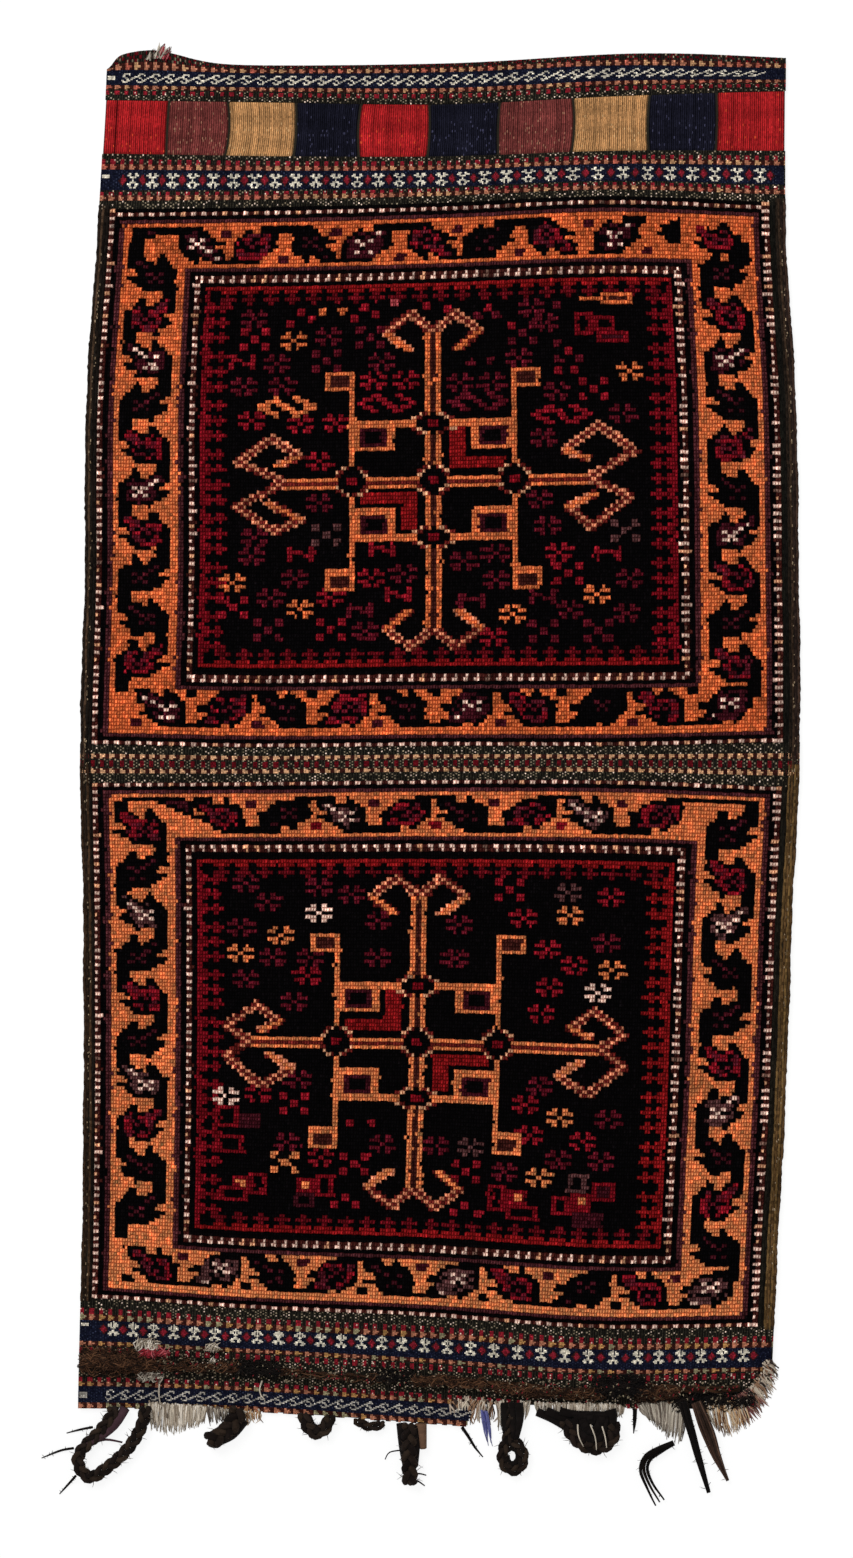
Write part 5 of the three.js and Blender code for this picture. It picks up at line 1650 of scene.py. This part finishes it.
# Loose warp ends along the worn edge: root line, tip line, how many, how many to a lock, tones
LEFT_ENDS = [
    ([(-168.1, -371), (-153.4, -372), (-135, -373.2)],
     [(-166.6, -386.5), (-161.7, -389), (-155.2, -390.6), (-145.1, -386.7), (-136.9, -384)],
     130, 6, WARP_WOOL),
    ([(-135, -373.2), (-122, -375)], [(-133, -384), (-121, -382)], 34, 5, GREY_WOOL),
    ([(-122, -374.6), (-112, -375.5), (-104.2, -376.2)],
     [(-118.5, -381.6), (-111.2, -383.6), (-104.4, -381.4)], 50, 6, TAN_WOOL),
]
RIGHT_ENDS = [
    ([(7.3, -370), (16.5, -369), (25.7, -369.6), (33.1, -371)],
     [(8.8, -383), (14.7, -379.4), (19.3, -384), (26.6, -382.1), (31.6, -384)], 70, 6, MIXED_WOOL),
    ([(25, -376), (28, -376)], [(28.6, -396), (30, -396.5)], 8, 4, BLUE_WOOL),
    ([(34, -370), (38, -370)], [(35, -388), (37.4, -386)], 12, 4, WARP_WOOL),
    ([(47.4, -370), (52.5, -370.6)], [(45.5, -390), (50, -382)], 14, 5, WARP_WOOL),
    ([(55.5, -371), (71.6, -371.4), (88.2, -371.4), (106.5, -372.6)],
     [(57.3, -377), (68, -380.3), (80.8, -384), (91.8, -382.1), (101, -381.2), (106.5, -379.4)],
     150, 5, WARP_WOOL),
    ([(115.7, -372), (124.9, -371), (134.1, -371), (143.3, -372)],
     [(122.1, -381.2), (130.4, -389.5), (135.9, -393.5), (140.5, -394.1)], 120, 8, GREY_WOOL),
]
CORNER_ENDS = [
    ([(170, -368), (181, -362.5)], [(178.5, -386), (185.5, -380), (191, -372.5)], 48, 6, PINK_WOOL),
    ([(155.2, -371), (165.3, -371), (174.5, -369.5)],
     [(158.9, -384), (166.2, -390.4), (174.5, -388.5), (179.1, -383)], 90, 7, TAN_WOOL),
    ([(178.1, -366.5), (183.7, -360.1), (188.3, -352.7), (190.1, -345.4)],
     [(183.7, -376), (190.1, -371), (196.5, -358.2), (198, -351.8)], 90, 7, MIXED_WOOL),
]
TOP_THREADS = [
    ([(-170, 408), (-160, 409)], [(-168, 414), (-162, 418), (-156, 416)], 14, 3, GREY_WOOL),
    ([(-163, 409), (-158, 408)], [(-159, 418.5), (-155, 414)], 8, 3, RED_WOOL),
]
WARP_THICK = 0.5
ON_CLOTH = 4.2
ON_TABLE = 0.7
# How far the roots and the tips of neat and of loose ends stray, and their waves as a share of it
NEAT_ENDS = 0.5
LOOSE_ENDS = 1.1
END_WAVE = 1.4


def warp_ends(name, groups, nodes, seed):
    """Strands from points along one line to points along another, gathered into locks at their tips."""
    rng = np.random.default_rng(seed)
    strands = []
    for roots, tips, count, clump, tones in groups:
        stray = LOOSE_ENDS if tones is MIXED_WOOL or tones is TAN_WOOL else NEAT_ENDS
        root_line = spread(roots, count)
        tip_line = spread(tips, max(2, math.ceil(count / clump)))
        for k in range(count):
            root = root_line[k] + rng.normal(0, stray, 2)
            start = np.append(root, ON_CLOTH + rng.uniform(-ROOT_UNEVEN, ROOT_UNEVEN))
            tip = tip_line[k // clump % len(tip_line)] + rng.normal(0, stray, 2)
            run = (np.append(tip, ON_TABLE) - start) * rng.uniform(*END_LENGTHS)
            aside = np.array([-run[1], run[0], 0]) / max(np.linalg.norm(run), SAME_POINT)
            bend = rng.normal(0, END_WAVE * stray)
            points = [start + run * t + aside * bend * math.sin(math.pi * t) for t in END_STEPS]
            strands.append((np.array(points), WARP_THICK * END_TAPER, tones[rng.integers(len(tones))]))
    return swept(name, strands, FINE_SIDES, FRINGE_WOOL, nodes, seed)


# Wrapped selvedges: inset of each rib from the edge, its radius, its tone in the upper and in the lower half
SELVEDGE_RIBS = {
    "left": [
        (0.9, 0.95, (38, 29, 23), (52, 37, 26)), (2.4, 0.9, (68, 51, 38), (40, 29, 21)),
        (4.2, 0.95, (24, 18, 14), (62, 44, 30)), (5.8, 1.0, (22, 17, 14), (24, 18, 14)),
    ],
    "right": [
        (0.9, 0.95, (58, 42, 34), (74, 54, 32)), (2.5, 0.95, (40, 29, 25), (102, 78, 45)),
        (4.1, 0.95, (54, 40, 30), (86, 63, 37)), (5.7, 0.9, (34, 26, 20), (96, 73, 43)),
        (7.2, 0.85, (18, 16, 13), (22, 19, 14)), (8.7, 0.85, (20, 19, 15), (28, 25, 19)),
    ],
}
SPECK_WOOL = [colour(150, 130, 104), colour(116, 98, 76)]
SPECK_INSET = 3.3
SPECK_COUNT = 110
SPECK_LENGTHS = (0.6, 1.8)
SPECK_STRAY = 0.5
SPECK_RISE = 0.75
SPECK_RADII = [0.4, 0.3]
SELVEDGE_SEEDS = {"left": 51, "right": 52}
SELVEDGE_SHADE_SEED = 53
SELVEDGE_POINTS = 170
SELVEDGE_BEYOND = 2
SELVEDGE_UP = 1.9
SELVEDGE_SWELL = 0.8
SELVEDGE_UNEVEN = 0.55
# How far a rib strays from its line, over which lengths, and by chance
RIB_STRAY = 0.35
RIB_STRAY_LENGTHS = (9, 23)
RIB_JITTER = 0.12
# How deep the wrapping is, its turns to a millimetre, and its unevenness
WRAP_DEPTH = 0.1
WRAP_TURNS = 2.2
WRAP_UNEVEN = 0.08


def selvedge(side):
    rng = np.random.default_rng(SELVEDGE_SEEDS[side])
    way = 1 if side == "left" else -1
    short, long = RIB_STRAY_LENGTHS
    strands = []

    def rib_line(inset, y):
        ragged = RIB_STRAY * np.sin(y / short) * np.sin(y / long + inset) + rng.normal(0, RIB_JITTER, len(y))
        x = way * (inset + ragged - CLOTH_WIDTH / 2)
        placed_x, placed_y = lay(x, y)
        return np.stack([placed_x, placed_y, SELVEDGE_UP + swell(placed_x, placed_y) * SELVEDGE_SWELL], 1)

    for inset, radius, *tones in SELVEDGE_RIBS[side]:
        halves = ((UPPER_TOP + SELVEDGE_BEYOND, 0), (0, LOWER_FOOT - SELVEDGE_BEYOND))
        for tone, (top, foot) in zip(tones, halves):
            y = np.linspace(top, foot, SELVEDGE_POINTS)
            uneven = WRAP_UNEVEN * rng.uniform(-1, 1, len(y))
            radii = radius * (1 + WRAP_DEPTH * np.sin(y * WRAP_TURNS) + uneven)
            strands.append((rib_line(inset, y), radii, colour(*tone)))
    for _ in range(SPECK_COUNT):
        y = rng.uniform(LOWER_FOOT, UPPER_TOP) + np.array([0, rng.uniform(*SPECK_LENGTHS)])
        points = rib_line(SPECK_INSET + rng.normal(0, SPECK_STRAY), y) + SPECK_RISE * UP
        strands.append((points, SPECK_RADII, SPECK_WOOL[rng.integers(len(SPECK_WOOL))]))
    name = f"{side}_selvedge"
    return swept(
        name + "_cords", strands, HAIR_SIDES, HAIR, [name],
        SELVEDGE_SHADE_SEED, SELVEDGE_UNEVEN)


# Everything in its place. The warmth of a panel's orange is given from its top down
UPPER_WARMTH = [0, 0.1, 0.35, 0.3, 0.1, 0]
LOWER_WARMTH = [0.4, 0.5, 0.5, 0.6, 0.7, 0.8]
upper, upper_ring = upper_chart()
lower, lower_ring = lower_chart()
ground = ground_sheet((upper, lower))
on_ground = []
on_ground += pile_panel("upper", upper, upper_ring, UPPER_TOP, KNOT, UPPER_WARMTH, seed=11)
on_ground += pile_panel("lower", lower, lower_ring, LOWER_TOP, LOWER_KNOT, LOWER_WARMTH, seed=12)
on_ground += [
    flat_piece("top_flatweave", TOP_EDGE, SQUARES_TOP, TOP_BANDS, [], seed=21),
    flat_piece("star_flatweave", SQUARES_FOOT, UPPER_TOP, UNDER_SQUARE_BANDS, ["top_star_band"], seed=22),
    flat_piece("fold_flatweave", UPPER_FOOT, LOWER_TOP, FOLD_BANDS, [], seed=23),
    flat_piece(
        "bottom_flatweave", LOWER_FOOT, BOTTOM_EDGE, BOTTOM_BANDS, ["bottom_star_band"],
        seed=24, worn=worn_away),
]
for k in range(len(SQUARE_YARNS)):
    tapestry_square(k)
on_ground += [
    selvedge("left"),
    selvedge("right"),
    couched_cord(),
    warp_ends("left_warp_ends", LEFT_ENDS, ["left_fringe"], seed=61),
    warp_ends("right_warp_ends", RIGHT_ENDS, ["right_fringe"], seed=62),
    warp_ends("corner_warp_ends", CORNER_ENDS, ["corner_fringe"], seed=63),
]
warp_ends("pulled_threads", TOP_THREADS, [], seed=64)

FREE_CORDS = ["closing_loop_1", "closing_loop_6", "closing_loop_8", "loose_strand_3", "loose_strand_4"]
FIRST_CORD_SEED = 80
for seed, name in enumerate([*LOOPS, *LOOSE], FIRST_CORD_SEED):
    make = hair_loop if name in LOOPS else hair_strand
    piece, fluff, line, diameter = make(name, seed)
    if name in FREE_CORDS:
        tuple(line[0])
        length_of(line)
    else:
        on_ground.append(piece)

# Floor, light and camera, in metres and watts
FLOOR_SIZE = 30
PAPER = (0.9, 0.9, 0.9, 1)
PAPER_GLOW = 1.08
GLOW_SHARE = 0.8
SKY = (1, 1, 1, 1)
SKY_STRENGTH = 0.55
LAMP_SIZE = 1.2
LAMP_WATTS = 25
LAMP_PLACE = (-0.9, 1.1, 1.7)
LENS = 85
SENSOR = 36
CAMERA_PLACE = (-0.00725, -0.0093, 2.1375)


def white_paper():
    """Paper that is seen as white and still takes the object's shadow."""
    material = bpy.data.materials.new("white_paper")
    tree, shader = node_tree(material)
    shader.inputs["Base Color"].default_value = PAPER
    shader.inputs["Roughness"].default_value = 1
    shader.inputs["Specular IOR Level"].default_value = 0
    glow = tree.nodes.new("ShaderNodeEmission")
    glow.inputs["Strength"].default_value = PAPER_GLOW
    ray = tree.nodes.new("ShaderNodeLightPath")
    seen = tree.nodes.new("ShaderNodeMath")
    seen.operation = "MAXIMUM"
    seen_all = tree.nodes.new("ShaderNodeMath")
    seen_all.operation = "MAXIMUM"
    share = tree.nodes.new("ShaderNodeMath")
    share.operation = "MULTIPLY"
    share.inputs[1].default_value = GLOW_SHARE
    blend = tree.nodes.new("ShaderNodeMixShader")
    link = tree.links.new
    link(ray.outputs["Is Camera Ray"], seen.inputs[0])
    link(ray.outputs["Is Glossy Ray"], seen.inputs[1])
    link(seen.outputs[0], seen_all.inputs[0])
    link(ray.outputs["Is Transmission Ray"], seen_all.inputs[1])
    link(seen_all.outputs[0], share.inputs[0])
    link(share.outputs[0], blend.inputs[0])
    link(shader.outputs[0], blend.inputs[1])
    link(glow.outputs[0], blend.inputs[2])
    link(blend.outputs[0], tree.nodes["Material Output"].inputs["Surface"])
    return material


floor_mesh = bmesh.new()
bmesh.ops.create_grid(floor_mesh, x_segments=1, y_segments=1, size=FLOOR_SIZE / 2)
floor = linked("floor", mesh_of("floor", floor_mesh))
floor.data.materials.append(white_paper())

world = bpy.data.worlds.new("studio")
bpy.context.scene.world = world
world.use_nodes = True
world.node_tree.nodes["Background"].inputs["Color"].default_value = SKY
world.node_tree.nodes["Background"].inputs["Strength"].default_value = SKY_STRENGTH
lamp_data = bpy.data.lights.new("window", "AREA")
lamp_data.shape = "DISK"
lamp_data.size = LAMP_SIZE
lamp_data.energy = LAMP_WATTS
lamp = linked("window", lamp_data)
lamp.location = LAMP_PLACE
lamp.rotation_mode = "QUATERNION"
lamp.rotation_quaternion = (-lamp.location).to_track_quat("-Z", "Y")

camera_data = bpy.data.cameras.new("camera")
camera_data.lens = LENS
camera_data.sensor_width = SENSOR
camera = linked("camera", camera_data)
camera.location = CAMERA_PLACE
bpy.context.scene.camera = camera
bpy.context.scene.view_settings.view_transform = "Standard"
